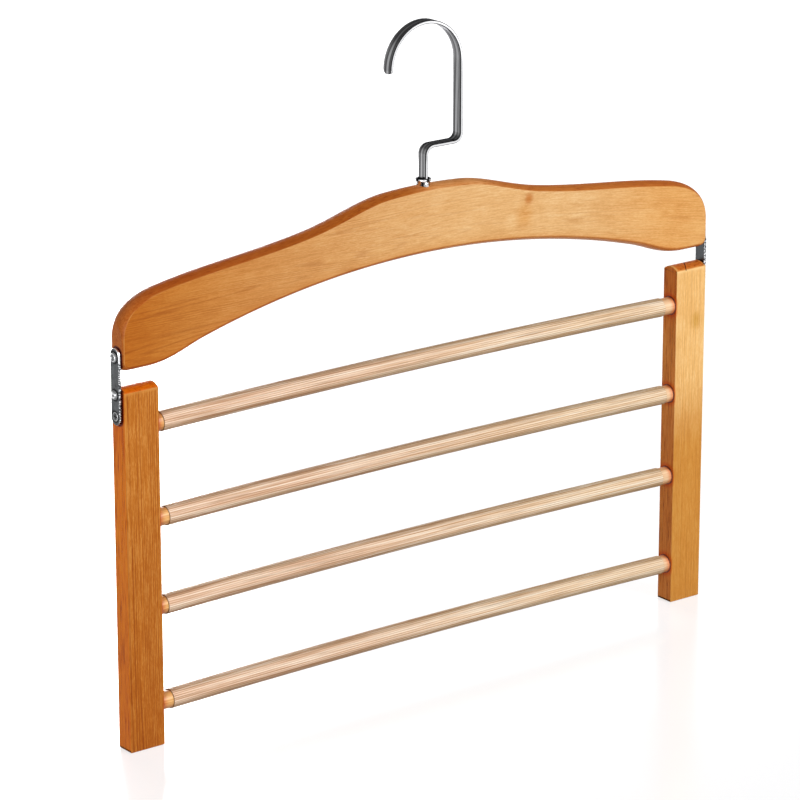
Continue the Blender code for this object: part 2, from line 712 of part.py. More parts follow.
def make_lower_screw(side_name, side, axis):
    head = [
        (0.0, 0.0), (SUNK_HEAD_RADIUS, 0.0),
        (SCREW_SHANK_RADIUS, -SUNK_HEAD_DEPTH),
    ]
    return screw(
        "plate_screw_lower_" + side_name, side, LOWER_SCREW_Z, head, SCREW_SHANK_RADIUS,
        PLATE_FACE, 0.0, SUNK_HEAD_RADIUS, axis,
    )


clear_scene()
PIECES = new_collection("trouser_hanger")
CUTTERS = new_collection("cutters")
swivel_axis = joint_axis("hook_swivel_axis", (0.0, 0.0, FERRULE_TOP))
swing_axis = joint_axis("rack_swing_axis", (0.0, 0.0, PIVOT_Z))
make_yoke()
make_hook(swivel_axis)
make_ferrule()
make_insert()
for word, sign in SIDES:
    make_plate(word, sign, swing_axis)
    make_pivot_screw(word, sign)
    make_upper_screw(word, sign, swing_axis)
    make_lower_screw(word, sign, swing_axis)
    make_post(word, sign, swing_axis)
for bar, (bar_level, sleeve_shift) in enumerate(zip(BAR_LEVELS, SLEEVE_SHIFTS), 1):
    make_dowel(bar, bar_level, swing_axis)
    make_sleeve(bar, bar_level, sleeve_shift, swing_axis)
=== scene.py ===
import math

import bmesh
import bpy
import numpy as np
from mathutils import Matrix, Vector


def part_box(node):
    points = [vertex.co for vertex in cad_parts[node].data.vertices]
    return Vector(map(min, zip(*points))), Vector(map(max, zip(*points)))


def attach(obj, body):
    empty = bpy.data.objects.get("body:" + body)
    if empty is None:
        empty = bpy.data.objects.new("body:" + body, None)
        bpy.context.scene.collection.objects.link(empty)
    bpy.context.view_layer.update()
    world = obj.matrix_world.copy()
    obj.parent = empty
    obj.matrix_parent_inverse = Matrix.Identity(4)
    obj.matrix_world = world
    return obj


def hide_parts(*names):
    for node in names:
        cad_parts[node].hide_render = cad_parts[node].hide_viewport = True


# The looks of a wooden trouser hanger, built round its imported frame.
# Metres, +X along the bars, -Y the front, +Z up, origin inside the crown of the hook.

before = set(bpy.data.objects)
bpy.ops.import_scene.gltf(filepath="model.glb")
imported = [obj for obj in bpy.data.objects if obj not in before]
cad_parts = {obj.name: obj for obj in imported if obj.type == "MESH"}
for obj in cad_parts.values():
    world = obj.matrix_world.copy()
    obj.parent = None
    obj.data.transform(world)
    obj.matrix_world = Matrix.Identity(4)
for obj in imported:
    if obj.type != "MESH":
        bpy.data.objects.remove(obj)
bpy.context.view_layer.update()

HALF_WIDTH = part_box("yoke")[1].x
HALF_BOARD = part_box("yoke")[1].y
INNER_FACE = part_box("post_right")[0].x
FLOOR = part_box("post_left")[0].z

# Yoke, the same crest line as the solid's
CREST = -0.0990
EDGE_CROWN = 0.0025
END_OVERHANG = 0.0016
CREST_KNOTS = np.array(
    [
        # distance from the middle, drop below the crest, slope
        [0.0, 0.0, 0.0],
        [0.028, 0.0010, 0.071],
        [0.057, 0.0070, 0.285],
        [0.088, 0.0148, 0.178],
        [0.140, 0.0217, 0.106],
    ]
)
CREST_STEPS = 20
ARM_END_DROP = 0.0290
ARM_END_SLOPE = 0.193
END_ROUND_RUN = 0.0295
END_ROUND_DROP = 0.0280
END_ROUND_LEAVE = 0.6
END_ROUND_ARRIVE = 0.42
END_ROUND_STEPS = 40
YOKE_DEPTH = 0.0425
YOKE_DROP = 0.0758
TOE_RADIUS = 0.0065
TOE_STEPS = 16
TOE_FLAT = 0.012
FLAT_STEPS = 6
HEEL_RUN = 0.042
HEEL_LEAVE = 0.43
HEEL_STEPS = 24
ARCH_RADIUS = 0.600
ARCH_POINTS = 60
ARCH_CENTRE = CREST - YOKE_DEPTH - ARCH_RADIUS

# Boards
ARRIS = 0.0004  # rounding of the wooden edges
ARRIS_STEPS = 4
CROWN_RADIUS = (HALF_BOARD**2 + EDGE_CROWN**2) / (2 * EDGE_CROWN)
YOKE_CROWN_STEPS = 22
POST_CROWN_STEPS = 24
FACE_MARGIN = 0.0012
FACE_RUN = 0.002

# Marks on the wood
KNOT = (0.0768, -HALF_BOARD, -0.1190)
UNDER_KNOT = (0.0735, -HALF_BOARD, -0.1300)
SMUDGE = (0.2150, -HALF_BOARD, -0.2220)
CHECK_ACROSS = (0.861, -0.509)
CHECK_PLACE = 0.1806

# Hook
STRIP_WIDTH = 0.0078
STRIP_THICKNESS = 0.0020
STRIP_EDGE = 0.00055
HOOK_INNER_RADIUS = 0.0253
TIP_DROP = 0.0020
TIP_RADIUS = 0.0030
TIP_POINTS = 9
JOG_RISE = 0.0236
BEND_RADIUS = 0.0052
BEND_STEPS = 20
HOOK_STEPS = 96
STRIP_FOOT = CREST + 0.0014
FOOT_STEPS = 24
FOOT_TAPER = 0.0060
FOOT_WIDTH = 0.0070
SHANK_TOP = CREST + 0.0022
SHANK_RADIUS = 0.0025
SHANK_EASE = 0.0003
SHANK_HEAD_RADIUS = 0.0032
SHANK_HEAD_HEIGHT = 0.0015

# Ferrule
FERRULE_WAIST = 0.0041
FERRULE_MOUTH = 0.0038
FERRULE_LIP = 0.0005
FERRULE_RIM = 0.0015
FERRULE_CUP = 0.0024
FERRULE_SEAT = CREST - 0.0011
FERRULE_BORE = SHANK_RADIUS + 0.0003
SPIGOT_RADIUS = FERRULE_WAIST - 0.0006
# painted dark reflections round the ferrule: how many bands, and the angle of the first
FERRULE_BANDS = 4
BAND_ANGLE = math.radians(-134)

# Bars
BARS = (1, 2, 3, 4)
DOWEL_EASE = 0.0006
RIBS = 30
RIB_STEPS = 6
RIB_HEIGHT = 0.00012
SLEEVE_WALL = 0.0004
# the bars' painted shade along their top and underside is measured from this angle
FRONT_ANGLE = math.radians(157)  # the bars' brightest side, front and a little up
CUT_EDGE = 0.0003
# size of the dark beads that paint the shadow round each dowel at the posts
SHADOW_RING_BEAD = 0.0005

# Link plates and screws
PLATE_EDGE = 0.0004
PLATE_FACE = HALF_WIDTH + 0.0020
HEAD_SEAT = HALF_WIDTH + 0.0024
HEAD_STEPS = 28
FLUSH_RIM = 0.0003
RECESS_DEPTH = 0.0007
RECESS_WIDTH = 0.0008
RECESS_SIDE = 0.00006
RECESS_END = 0.00008
PIVOT_SHANK = 0.0017
PLATE_SHANK = 0.0014
POINT_LENGTH = 0.003

# Camera, fitted to the corners of the posts, the yoke and the hook in the photograph
FOCAL_PIXELS = 4234
FRAME_PIXELS = 800
SENSOR = 36.0
CAMERA_PLACE = (-1.5062, -1.9502, 0.5542)
CAMERA_YAW = 37.355
CAMERA_PITCH = 17.766

# Stage
FLOOR_GLOW = 0.86
FAR_FLOOR_GLOW = 1.00
FLOOR_MIRROR = 0.18
FILL_LIGHT = 0.14
WHITE = (1.0, 1.0, 1.0, 1.0)


def srgb(red, green, blue):
    """The linear colour of a display colour given from 0 to 255."""
    shares = np.array([red, green, blue]) / 255
    linear = np.where(shares <= 0.04045, shares / 12.92, ((shares + 0.055) / 1.055) ** 2.4)
    return (*linear, 1.0)


def dimmed(tone, share):
    """A tone times a share, with no channel above 1."""
    return (*(min(1.0, share * value) for value in tone[:3]), 1.0)


# Tones, from dark to light where there are several
LINE_TONE = srgb(186, 138, 82)
# tone of the painted shadow round the link plates
PLATE_SHADOW = srgb(96, 34, 14)
YOKE_TONES = (srgb(214, 162, 102), srgb(227, 178, 119), srgb(236, 196, 142))
YOKE_EDGE = (srgb(188, 114, 54), srgb(212, 140, 76), srgb(228, 162, 100))
LEFT_TONES = (srgb(176, 100, 28), srgb(190, 114, 40), srgb(206, 138, 64))
LEFT_EDGE = (srgb(180, 80, 4), srgb(226, 116, 10), srgb(242, 142, 30))
RIGHT_TONES = (srgb(232, 178, 106), srgb(243, 191, 119), srgb(250, 208, 144))
RIGHT_EDGE = (srgb(158, 84, 30), srgb(216, 128, 54), srgb(232, 154, 80))
PINK_VINYL = (srgb(220, 182, 150), srgb(243, 211, 182), srgb(254, 236, 214))
CREAM_VINYL = (srgb(234, 202, 162), srgb(252, 231, 198), srgb(255, 246, 224))
HONEY_DOWEL = (srgb(206, 142, 72), srgb(232, 176, 104), srgb(244, 200, 136))
PALE_DOWEL = (srgb(226, 178, 132), srgb(242, 204, 160), srgb(250, 222, 186))


def smooth(value, low, high):
    """A smooth rise from 0 at low to 1 at high: 3 t squared less 2 t cubed, t being the share of the way."""
    share = np.clip((value - low) / (high - low), 0, 1)
    return share**2 * (3 - 2 * share)


def bell(value, centre, width):
    """1 at the centre, falling as the exponential of minus the squared distance in widths."""
    return np.exp(-(((value - centre) / width) ** 2))


# Surfaces


def grid_faces(rows, columns, wrap_rows):
    """Every cell of a grid as four corner numbers. The last column joins the first, and so may the rows."""
    row = np.arange(rows if wrap_rows else rows - 1)[:, None]
    column = np.arange(columns)[None, :]
    below, beside = (row + 1) % rows, (column + 1) % columns
    corners = [row * columns + column, row * columns + beside]
    corners += [below * columns + beside, below * columns + column]
    return np.stack(np.broadcast_arrays(*corners), axis=-1).reshape(-1, 4)


def piece(name, grid, body, material, stands_for=(), wrap_rows=False, caps=False, marks=None, sharp=32):
    """A closed surface over a grid of points whose columns wrap, riding on a body.

    Points that meet at a pole are merged, and caps close the first and last rows.
    Marks are named values at the grid's points, which the material reads."""
    rows, columns = grid.shape[:2]
    faces = grid_faces(rows, columns, wrap_rows).tolist()
    if caps:
        faces.append(list(range(columns)))
        faces.append(list(range((rows - 1) * columns, rows * columns)))
    mesh = bpy.data.meshes.new(name)
    mesh.from_pydata(grid.reshape(-1, 3).tolist(), [], faces)
    for mark_name, values in (marks or {}).items():
        layer = mesh.attributes.new(mark_name, "FLOAT", "POINT")
        layer.data.foreach_set("value", np.broadcast_to(values, (rows, columns)).astype(float).ravel())
    shell = bmesh.new()
    shell.from_mesh(mesh)
    bmesh.ops.remove_doubles(shell, verts=shell.verts, dist=1e-7)
    bmesh.ops.recalc_face_normals(shell, faces=shell.faces)
    shell.to_mesh(mesh)
    shell.free()
    mesh.shade_smooth()
    mesh.set_sharp_from_angle(angle=math.radians(sharp))
    obj = bpy.data.objects.new(name, mesh)
    bpy.context.scene.collection.objects.link(obj)
    mesh.materials.append(material)
    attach(obj, body)
    if stands_for:
        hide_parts(*stands_for)
    return obj


def arc(centre, radius, start, end, steps):
    """Points on a circle: the centre plus the radius times the cosine and sine of an even run of angles."""
    angle = np.radians(np.linspace(start, end, steps + 1))
    return np.stack([centre[0] + radius * np.cos(angle), centre[1] + radius * np.sin(angle)], axis=-1)


def line(start, end, steps):
    """Evenly spaced points from start to end."""
    return np.linspace(start, end, steps + 1)


def bezier(start, leave, arrive, end, steps):
    """Cubic Bezier: the four points weighted by (1-t)^3, 3t(1-t)^2, 3t^2(1-t) and t^3."""
    t = np.linspace(0, 1, steps + 1)[:, None]
    points = [np.asarray(point, float) for point in (start, leave, arrive, end)]
    weights = [(1 - t) ** 3, 3 * t * (1 - t) ** 2, 3 * t**2 * (1 - t), t**3]
    return sum(weight * point for weight, point in zip(weights, points))


def join(*runs):
    """Runs of points end to end, without the point that each run shares with the one before."""
    return np.concatenate([runs[0]] + [run[1:] for run in runs[1:]])


def inward(outline):
    """Unit normals of a closed outline, to the right of its way round: the mean chord turned square."""
    chord = np.roll(outline, -1, axis=0) - np.roll(outline, 1, axis=0)
    normal = np.stack([chord[:, 1], -chord[:, 0]], axis=-1)
    return normal / np.linalg.norm(normal, axis=1, keepdims=True)


def inset_rings(outline, profile):
    """An outline moved along its inward normals by each of the profile's insets: one ring for each."""
    return outline + profile[:, 0][:, None, None] * inward(outline)


def side_grid(outline, profile, middle):
    """The inset rings of an upright outline, each at the profile's distance from a middle along X."""
    ring = inset_rings(outline, profile)
    x = np.broadcast_to(middle + profile[:, 1:], ring.shape[:2])
    return np.concatenate([x[..., None], ring], axis=-1)


def eased_corner(half, ease, run):
    """Inset and distance over a quarter round at a side face, and then a few eases in over that face."""
    corner = arc((ease, half - ease), ease, 180, 90, ARRIS_STEPS)
    return np.concatenate([corner, [[run * ease, half]]])


def turned(profile, steps=96):
    """A profile of radius and height carried round +Z: radius times the cosine and sine of the angle."""
    angle = np.linspace(0, 2 * np.pi, steps, endpoint=False)
    radius, height = profile[:, :1], profile[:, 1:]
    rows = [radius * np.cos(angle), radius * np.sin(angle), np.broadcast_to(height, (len(profile), steps))]
    return np.stack(rows, axis=-1)


# Nodes


def feed(socket, value):
    """A socket linked to its value where that is a socket too, and set to it otherwise.

    A socket's or node's id_data is the tree that it is in."""
    if isinstance(value, bpy.types.NodeSocket):
        socket.id_data.links.new(value, socket)
    else:
        socket.default_value = value


def wire(node, **values):
    """Values for a node's sockets by name, with _ for a space."""
    for name, value in values.items():
        feed(node.inputs[name.replace("_", " ")], value)


def wire_in_order(node, values, numbers=(0, 1, 2)):
    """Values for a node's sockets by number."""
    for number, value in zip(numbers, values):
        feed(node.inputs[number], value)


def add(tree, kind, settings=None, **values):
    """A node with its settings and the values of its sockets."""
    made = tree.nodes.new(kind)
    for key, value in (settings or {}).items():
        setattr(made, key, value)
    wire(made, **values)
    return made


def maths(operation, first, second=0.0, third=0.0, clamp=False):
    """A sum on one, two or three values."""
    made = add(first.id_data, "ShaderNodeMath", {"operation": operation, "use_clamp": clamp})
    wire_in_order(made, (first, second, third))
    return made.outputs[0]


def times(first, *others):
    """Values multiplied together."""
    for value in others:
        first = maths("MULTIPLY", first, value)
    return first


def scaled(value, by, plus):
    """A value times a second one, plus a third."""
    return maths("MULTIPLY_ADD", value, by, plus)


def away(value, centre=0.0):
    """How far a value is from a centre, on either side."""
    return maths("ABSOLUTE", maths("SUBTRACT", value, centre))


def distance(first, second):
    """The root of the sum of two squares."""
    return maths("SQRT", scaled(first, first, times(second, second)))


def vectors(operation, first, second=(0.0, 0.0, 0.0)):
    """A sum on one or two vectors, or a vector's length."""
    made = add(first.id_data, "ShaderNodeVectorMath", {"operation": operation})
    wire_in_order(made, (first, second))
    return made.outputs["Value" if operation == "LENGTH" else "Vector"]


def between(value, low, high):
    """A smooth rise from 0 at low to 1 at high."""
    made = add(value.id_data, "ShaderNodeMapRange", {"interpolation_type": "SMOOTHSTEP"})
    wire(made, Value=value, From_Min=low, From_Max=high)
    return made.outputs[0]


def mix(factor, first, second, mode="MIX"):
    """Two colours mixed by a factor."""
    settings = {"data_type": "RGBA", "blend_type": mode, "clamp_factor": True}
    made = add(factor.id_data, "ShaderNodeMix", settings)
    wire_in_order(made, (factor, first, second), (0, 6, 7))
    return made.outputs[2]


def mix_shaders(share, first, second):
    """Two shaders mixed by a share."""
    made = add(first.id_data, "ShaderNodeMixShader")
    wire_in_order(made, (share, first, second))
    return made.outputs[0]


def ramp(factor, places, colours):
    """Colours at places from 0 to 1."""
    made = add(factor.id_data, "ShaderNodeValToRGB", Fac=factor)
    stones = made.color_ramp.elements
    while len(stones) < len(places):
        stones.new(0.5)
    for stone, place, colour in zip(stones, places, colours):
        stone.position = place
        stone.color = colour
    return made.outputs["Color"]


def mark(tree, name):
    """A value stored at the piece's points."""
    return add(tree, "ShaderNodeAttribute", {"attribute_name": name}).outputs["Fac"]


def object_place(tree):
    """The place on the object, in metres."""
    return add(tree, "ShaderNodeTexCoord").outputs["Object"]


def axis_value(tree, axis):
    """One of the object coordinates, in metres."""
    return add(tree, "ShaderNodeSeparateXYZ", Vector=object_place(tree)).outputs[axis]


def noise(tree, scale, detail=3.0, rough=0.55, warp=0.0, shift=(0.0, 0.0, 0.0), place=None):
    """Noise on object coordinates, or on a given place, in cycles per metre along each axis."""
    place = place or object_place(tree)
    placed = add(tree, "ShaderNodeMapping", Vector=place, Scale=scale, Location=shift).outputs[0]
    made = add(
        tree, "ShaderNodeTexNoise", Vector=placed, Scale=1.0, Detail=detail, Roughness=rough, Distortion=warp
    )
    return made.outputs[0]


def along_grain(grain, across, lengthwise):
    """A scale for noise: fine across the grain and slow along it."""
    scale = [across, across, across]
    scale[grain] = lengthwise
    return tuple(scale)


def bent_grain(tree, bend):
    """Object coordinates whose height gains the bend times the square of x where x is positive."""
    x, y, z = (axis_value(tree, axis) for axis in (0, 1, 2))
    right = maths("MAXIMUM", x, 0.0)
    lifted = scaled(times(right, right), bend, z)
    return add(tree, "ShaderNodeCombineXYZ", X=x, Y=y, Z=lifted).outputs[0]


def bump(shader, height, depth, strength):
    """Fine relief from a height."""
    made = add(height.id_data, "ShaderNodeBump", Height=height, Distance=depth, Strength=strength)
    wire(shader, Normal=made.outputs[0])


# Finishes


def new_material(name, metallic=0.0):
    """A material with its nodes and its shader."""
    material = bpy.data.materials.new(name)
    material.use_nodes = True
    shader = material.node_tree.nodes["Principled BSDF"]
    wire(shader, Metallic=metallic)
    return material, material.node_tree, shader


def lacquered_wood(name, grain, tones, edge_tones, shift, lines, bend=0.0):
    """Close-grained hardwood under thin lacquer, before its own stains and painted shade.

    Short fibres, soft bands and a slow cloudiness set the tone, and growth lines run along it, with one
    strength at the left and another at the right. The sawn edges take the edge tones, streaked, and the
    creases are lighter: a painted highlight."""
    material, tree, shader = new_material(name)
    place = bent_grain(tree, bend)
    fibres = noise(tree, along_grain(grain, 1250, 80), 4, 0.7, 0.1, shift, place)
    dashes = noise(tree, along_grain(grain, 1700, 420), 2, 0.6, 0.0, shift, place)
    bands = noise(tree, along_grain(grain, 150, 5), 2, 0.5, 0.3, shift, place)
    clouds = noise(tree, (46, 46, 46), 2, 0.5, 0.2, shift)
    tone = scaled(fibres, 0.48, times(bands, 0.14))
    tone = scaled(dashes, 0.24, tone)
    tone = scaled(clouds, 0.14, tone)
    colour = ramp(tone, (0.41, 0.50, 0.59), tones)
    rightward = between(axis_value(tree, 0), -0.10, 0.05)
    strength = scaled(rightward, lines[1] - lines[0], lines[0])
    colour = mix(growth_lines(tree, grain, shift, place, strength), colour, LINE_TONE, "MULTIPLY")
    streaks = noise(tree, (130, 900, 900) if grain == 0 else (260, 900, 70), 3, 0.6, 0.4, shift, place)
    edge_tone = scaled(streaks, 0.5, times(tone, 0.5))
    edge_colour = ramp(edge_tone, (0.38, 0.48, 0.62), edge_tones)
    colour = mix(mark(tree, "edge"), colour, edge_colour)
    # painted highlight: the marked creases lightened, more where the clouds are high
    painted_crease_highlight = times(mark(tree, "arris"), between(clouds, 0.30, 0.62))
    colour = mix(painted_crease_highlight, colour, tones[2], "LIGHTEN")
    wire(shader, Roughness=scaled(fibres, 0.20, 0.26), Specular_IOR_Level=0.09)
    bump(shader, fibres, 0.00006, 0.35)
    return material, tree, shader, colour


def growth_lines(tree, grain, shift, place, strength):
    """Thin dark lines where a slow noise crosses evenly spaced levels. On upright boards, which are sawn
    square to the rings, an even run across the grain is added, so that the lines are nearly parallel."""
    slow = noise(tree, along_grain(grain, 62, 1.3), 2, 0.35, 0.0, shift, place)
    level = times(slow, 38.0 if grain == 0 else 11.0)
    if grain == 2:
        across = scaled(axis_value(tree, 1), 0.8, axis_value(tree, 0))
        level = scaled(across, 600.0, level)
    beside = away(maths("FRACT", level), 0.5)
    patches = noise(tree, along_grain(grain, 150, 9), 2, 0.5, 0.0, shift)
    return times(between(beside, 0.26, 0.02), between(patches, 0.30, 0.62), strength)


def stained_and_shaded(wood, steps):
    """The wood's colour multiplied by each step's tone in the step's share, then wired to the shader."""
    material, _, shader, colour = wood
    for share, tone in steps:
        colour = mix(share, colour, tone, "MULTIPLY")
    wire(shader, Base_Color=colour)
    return material


def round_share(tree, level, radius, soft):
    """1 inside a circle about an axis along X at a level, fading out over the soft width."""
    up = maths("SUBTRACT", axis_value(tree, 2), level)
    return between(distance(axis_value(tree, 1), up), radius + soft, radius)


def spot_share(tree, place, reach):
    """1 at a place fading to 0 at its reach, which is given along each axis."""
    moved = vectors("SUBTRACT", object_place(tree), place)
    length = vectors("LENGTH", vectors("DIVIDE", moved, reach))
    return between(length, 1.0, 0.1)


def plate_shade(tree):
    """A painted shadow round a link plate: the share falls off with the distance from the plate's outline."""
    low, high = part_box("link_plate_left")
    radius = high.y
    z = axis_value(tree, 2)
    nearest = maths("MINIMUM", maths("MAXIMUM", z, low.z + radius), high.z - radius)
    reach = distance(axis_value(tree, 1), maths("SUBTRACT", z, nearest))
    near = between(reach, radius + 0.0018, radius + 0.0005)
    outside = away(axis_value(tree, 0))
    return times(near, between(outside, HALF_WIDTH - 0.0012, HALF_WIDTH - 0.0004))


def ribbed_vinyl(name, shift):
    """Thin ribbed vinyl over wood: cream and pinkish threads, pinker to the left, with painted shade in the
    grooves and along the rim, which is the bar's top and underside, and dark cut ends, partly painted shadow."""
    material, tree, shader = new_material(name)
    figure = noise(tree, along_grain(0, 700, 9), 3, 0.6, 0.2, shift)
    threads = noise(tree, along_grain(0, 1300, 16), 3, 0.7, 0.0, shift)
    pink = ramp(figure, (0.36, 0.50, 0.64), PINK_VINYL)
    cream = ramp(figure, (0.36, 0.50, 0.64), CREAM_VINYL)
    colour = mix(between(axis_value(tree, 0), -0.12, 0.16), pink, cream)
    # painted shade in the grooves between the ribs
    groove = times(mark(tree, "groove"), 0.62)
    colour = mix(groove, colour, srgb(186, 140, 106), "MULTIPLY")
    # painted shade along the top and underside
    colour = mix(mark(tree, "rim"), colour, srgb(206, 195, 178), "MULTIPLY")
    dark_threads = times(between(threads, 0.53, 0.66), 0.5)
    colour = mix(dark_threads, colour, srgb(148, 114, 84))
    light_threads = times(between(threads, 0.47, 0.36), 0.4)
    colour = mix(light_threads, colour, srgb(253, 240, 222))
    # dark cut ends: the vinyl's cut edge, and painted shadow in the gap at the end
    colour = mix(times(mark(tree, "cut_and_gap_shade"), 0.8), colour, srgb(74, 56, 30))
    roughness = scaled(threads, 0.2, 0.26)
    wire(shader, Base_Color=colour, Roughness=roughness, Specular_IOR_Level=0.05)
    return material


def turned_dowel_wood(name):
    """Smooth bare dowel: fine straight fibres along the bar, honey at the left end and paler at the right,
    with painted red shade beside the posts, as light off the posts gives, and painted shade along the rim,
    which is the bar's top and underside."""
    material, tree, shader = new_material(name)
    fibres = noise(tree, along_grain(0, 900, 24), 4, 0.6, 0.2)
    honey = ramp(fibres, (0.35, 0.55, 0.75), HONEY_DOWEL)
    pale = ramp(fibres, (0.35, 0.55, 0.75), PALE_DOWEL)
    x = axis_value(tree, 0)
    colour = mix(between(x, -0.05, 0.05), honey, pale)
    # painted red shade beside the posts
    near_post = between(away(x), INNER_FACE - 0.0045, INNER_FACE - 0.0002)
    colour = mix(near_post, colour, srgb(240, 178, 140), "MULTIPLY")
    # painted shade along the top and underside
    colour = mix(mark(tree, "rim"), colour, srgb(226, 208, 188), "MULTIPLY")
    wire(shader, Base_Color=colour, Roughness=scaled(fibres, 0.2, 0.32))
    bump(shader, fibres, 0.00005, 0.4)
    return material


def chrome(name, face, edge, streak):
    """Bright plating: faces of a given tone with fine streaks, a brighter tone on edges as a painted
    highlight, and dark marks as painted dark reflections.
    """
    material, tree, shader = new_material(name, 1.0)
    streaks = noise(tree, streak, 4, 0.65, 0.1)
    colour = ramp(streaks, (0.42, 0.60), (dimmed(face, 0.36), dimmed(face, 1.6)))
    edge_colour = ramp(streaks, (0.44, 0.54), (dimmed(edge, 0.70), dimmed(edge, 1.0)))
    # painted highlight: the marked edges take the brighter tone
    colour = mix(mark(tree, "edge"), colour, edge_colour)
    # painted dark reflections where marked: the hook's corners and the ferrule's bands
    seam = mark(tree, "seam")
    colour = mix(seam, colour, srgb(30, 30, 32))
    roughness = scaled(seam, 0.5, scaled(streaks, 0.16, 0.02))
    wire(shader, Base_Color=colour, Roughness=roughness, Specular_Tint=(0.4, 0.4, 0.41, 1.0))
    return material


def nickel_plate(name, tone, highlight_tone, heads=()):
    """Duller plating: brushed along Z and blotched, with painted highlights in notches along its edges and
    where it is marked bright. Round each screw head, given as a level and a radius, is a darker painted
    shade."""
    material, tree, shader = new_material(name, 1.0)
    brushed = noise(tree, (1400, 1400, 60), 3, 0.6)
    blotches = noise(tree, (340, 340, 260), 4, 0.65, 0.5)
    colour = ramp(brushed, (0.3, 0.7), (dimmed(tone, 0.6), tone))
    blotched = times(between(blotches, 0.50, 0.66), 0.6)
    colour = mix(blotched, colour, srgb(44, 46, 48))
    # painted shade round each screw head
    for level, radius in heads:
        ring = round_share(tree, level, radius + 0.0005, 0.0010)
        colour = mix(ring, colour, srgb(16, 17, 19))
    nicks = noise(tree, (300, 300, 600), 2, 0.6)
    notches = maths("SINE", scaled(axis_value(tree, 2), 3300.0, times(nicks, 22.0)))
    # painted highlight in notches along the edges, and where marked bright
    notched_highlight = times(mark(tree, "edge"), between(notches, -0.1, 0.8))
    colour = mix(maths("MAXIMUM", notched_highlight, mark(tree, "bright")), colour, highlight_tone)
    wire(shader, Base_Color=colour, Roughness=scaled(brushed, 0.22, 0.16))
    bump(shader, blotches, 0.00004, 0.5)
    return material


def shadow_ring_finish(name):
    """A dark red-brown finish with a slight sheen for the painted shadow rings where the dowels enter the
    posts.
    """
    material, tree, shader = new_material(name)
    lumps = noise(tree, (900, 900, 900), 2)
    colour = ramp(lumps, (0.35, 0.65), (srgb(78, 26, 10), srgb(132, 58, 22)))
    wire(shader, Base_Color=colour, Roughness=0.5)
    return material


def plain_brass(name):
    """Turned brass with fine lathe marks round its axis."""
    material, tree, shader = new_material(name, 1.0)
    lathe = noise(tree, (60, 60, 2400), 2)
    colour = ramp(lathe, (0.3, 0.7), (srgb(176, 138, 72), srgb(212, 176, 104)))
    wire(shader, Base_Color=colour, Roughness=0.35)
    bump(shader, lathe, 0.00003, 0.4)
    return material


# Wooden boards


def yoke_profile():
    """Inset and depth across the yoke's edge, from inside one face round to inside the other.

    The crown is a circle through both creases, and each crease is a Bezier with the crease as its middle
    points. With the profile go the rows' shares of edge, of painted crease highlight and of crease."""
    half_angle = math.asin(HALF_BOARD / CROWN_RADIUS) - ARRIS / CROWN_RADIUS
    angle = np.linspace(-half_angle, half_angle, YOKE_CROWN_STEPS + 1)
    bow = np.stack([CROWN_RADIUS * (1 - np.cos(angle)), CROWN_RADIUS * np.sin(angle)], axis=-1)
    crease = np.array([EDGE_CROWN, -HALF_BOARD])
    first = bezier(crease + [ARRIS, 0], crease, crease, bow[0], ARRIS_STEPS)
    start = [crease + [FACE_MARGIN, 0]]
    profile = np.concatenate([start, first, bow[1:-1], first[::-1] * [1, -1], start * np.array([1, -1])])
    row = np.arange(len(profile))
    from_end = np.minimum(row, len(profile) - 1 - row)
    edge = (from_end > 2).astype(float)
    arris = bell(np.abs(profile[:, 1]) / HALF_BOARD, 0.985, 0.03) * edge
    at_crease = ((from_end > 0) & (from_end < 4)).astype(float)
    return profile, edge, arris, at_crease


def half_crest():
    """Right half of the yoke's crest line, from the top middle round to the lower middle."""
    end = HALF_WIDTH + END_OVERHANG
    arm_end = end - END_ROUND_RUN
    knots = np.vstack([CREST_KNOTS, [arm_end, ARM_END_DROP, ARM_END_SLOPE]])
    places = knots[:, :2] * [1, -1]
    reach = np.diff(knots[:, 0])[:, None] / 3
    ahead = np.stack([np.ones(len(knots)), -knots[:, 2]], axis=-1)
    leave = places[:-1] + reach * ahead[:-1]
    arrive = places[1:] - reach * ahead[1:]
    runs = [bezier(*ends, CREST_STEPS) for ends in zip(places[:-1], leave, arrive, places[1:])]
    lead = END_ROUND_LEAVE * END_ROUND_RUN
    corner = bezier(
        (arm_end, -ARM_END_DROP),
        (arm_end + lead, -ARM_END_DROP - lead * ARM_END_SLOPE),
        (end, -ARM_END_DROP - END_ROUND_ARRIVE * END_ROUND_DROP),
        (end, -ARM_END_DROP - END_ROUND_DROP),
        END_ROUND_STEPS,
    )
    toe = arc((end - TOE_RADIUS, TOE_RADIUS - YOKE_DROP), TOE_RADIUS, 0, -90, TOE_STEPS)
    side = line(corner[-1], toe[0], FLAT_STEPS)
    level_end = end - TOE_RADIUS - TOE_FLAT
    arch_end = level_end - HEEL_RUN
    rise = math.sqrt(ARCH_RADIUS**2 - arch_end**2)
    arch_z = rise - YOKE_DEPTH - ARCH_RADIUS
    level = line(toe[-1], (level_end, -YOKE_DROP), FLAT_STEPS)
    heel = bezier(
        level[-1],
        (level_end - HEEL_LEAVE * HEEL_RUN, -YOKE_DROP),
        (arch_end + HEEL_RUN / 3, arch_z - arch_end / rise * HEEL_RUN / 3),
        (arch_end, arch_z),
        HEEL_STEPS,
    )
    x = np.linspace(arch_end, 0, ARCH_POINTS)
    arch = np.stack([x, np.sqrt(ARCH_RADIUS**2 - x**2) - YOKE_DEPTH - ARCH_RADIUS], axis=-1)
    return join(*runs, corner, side, toe, level, heel, arch)


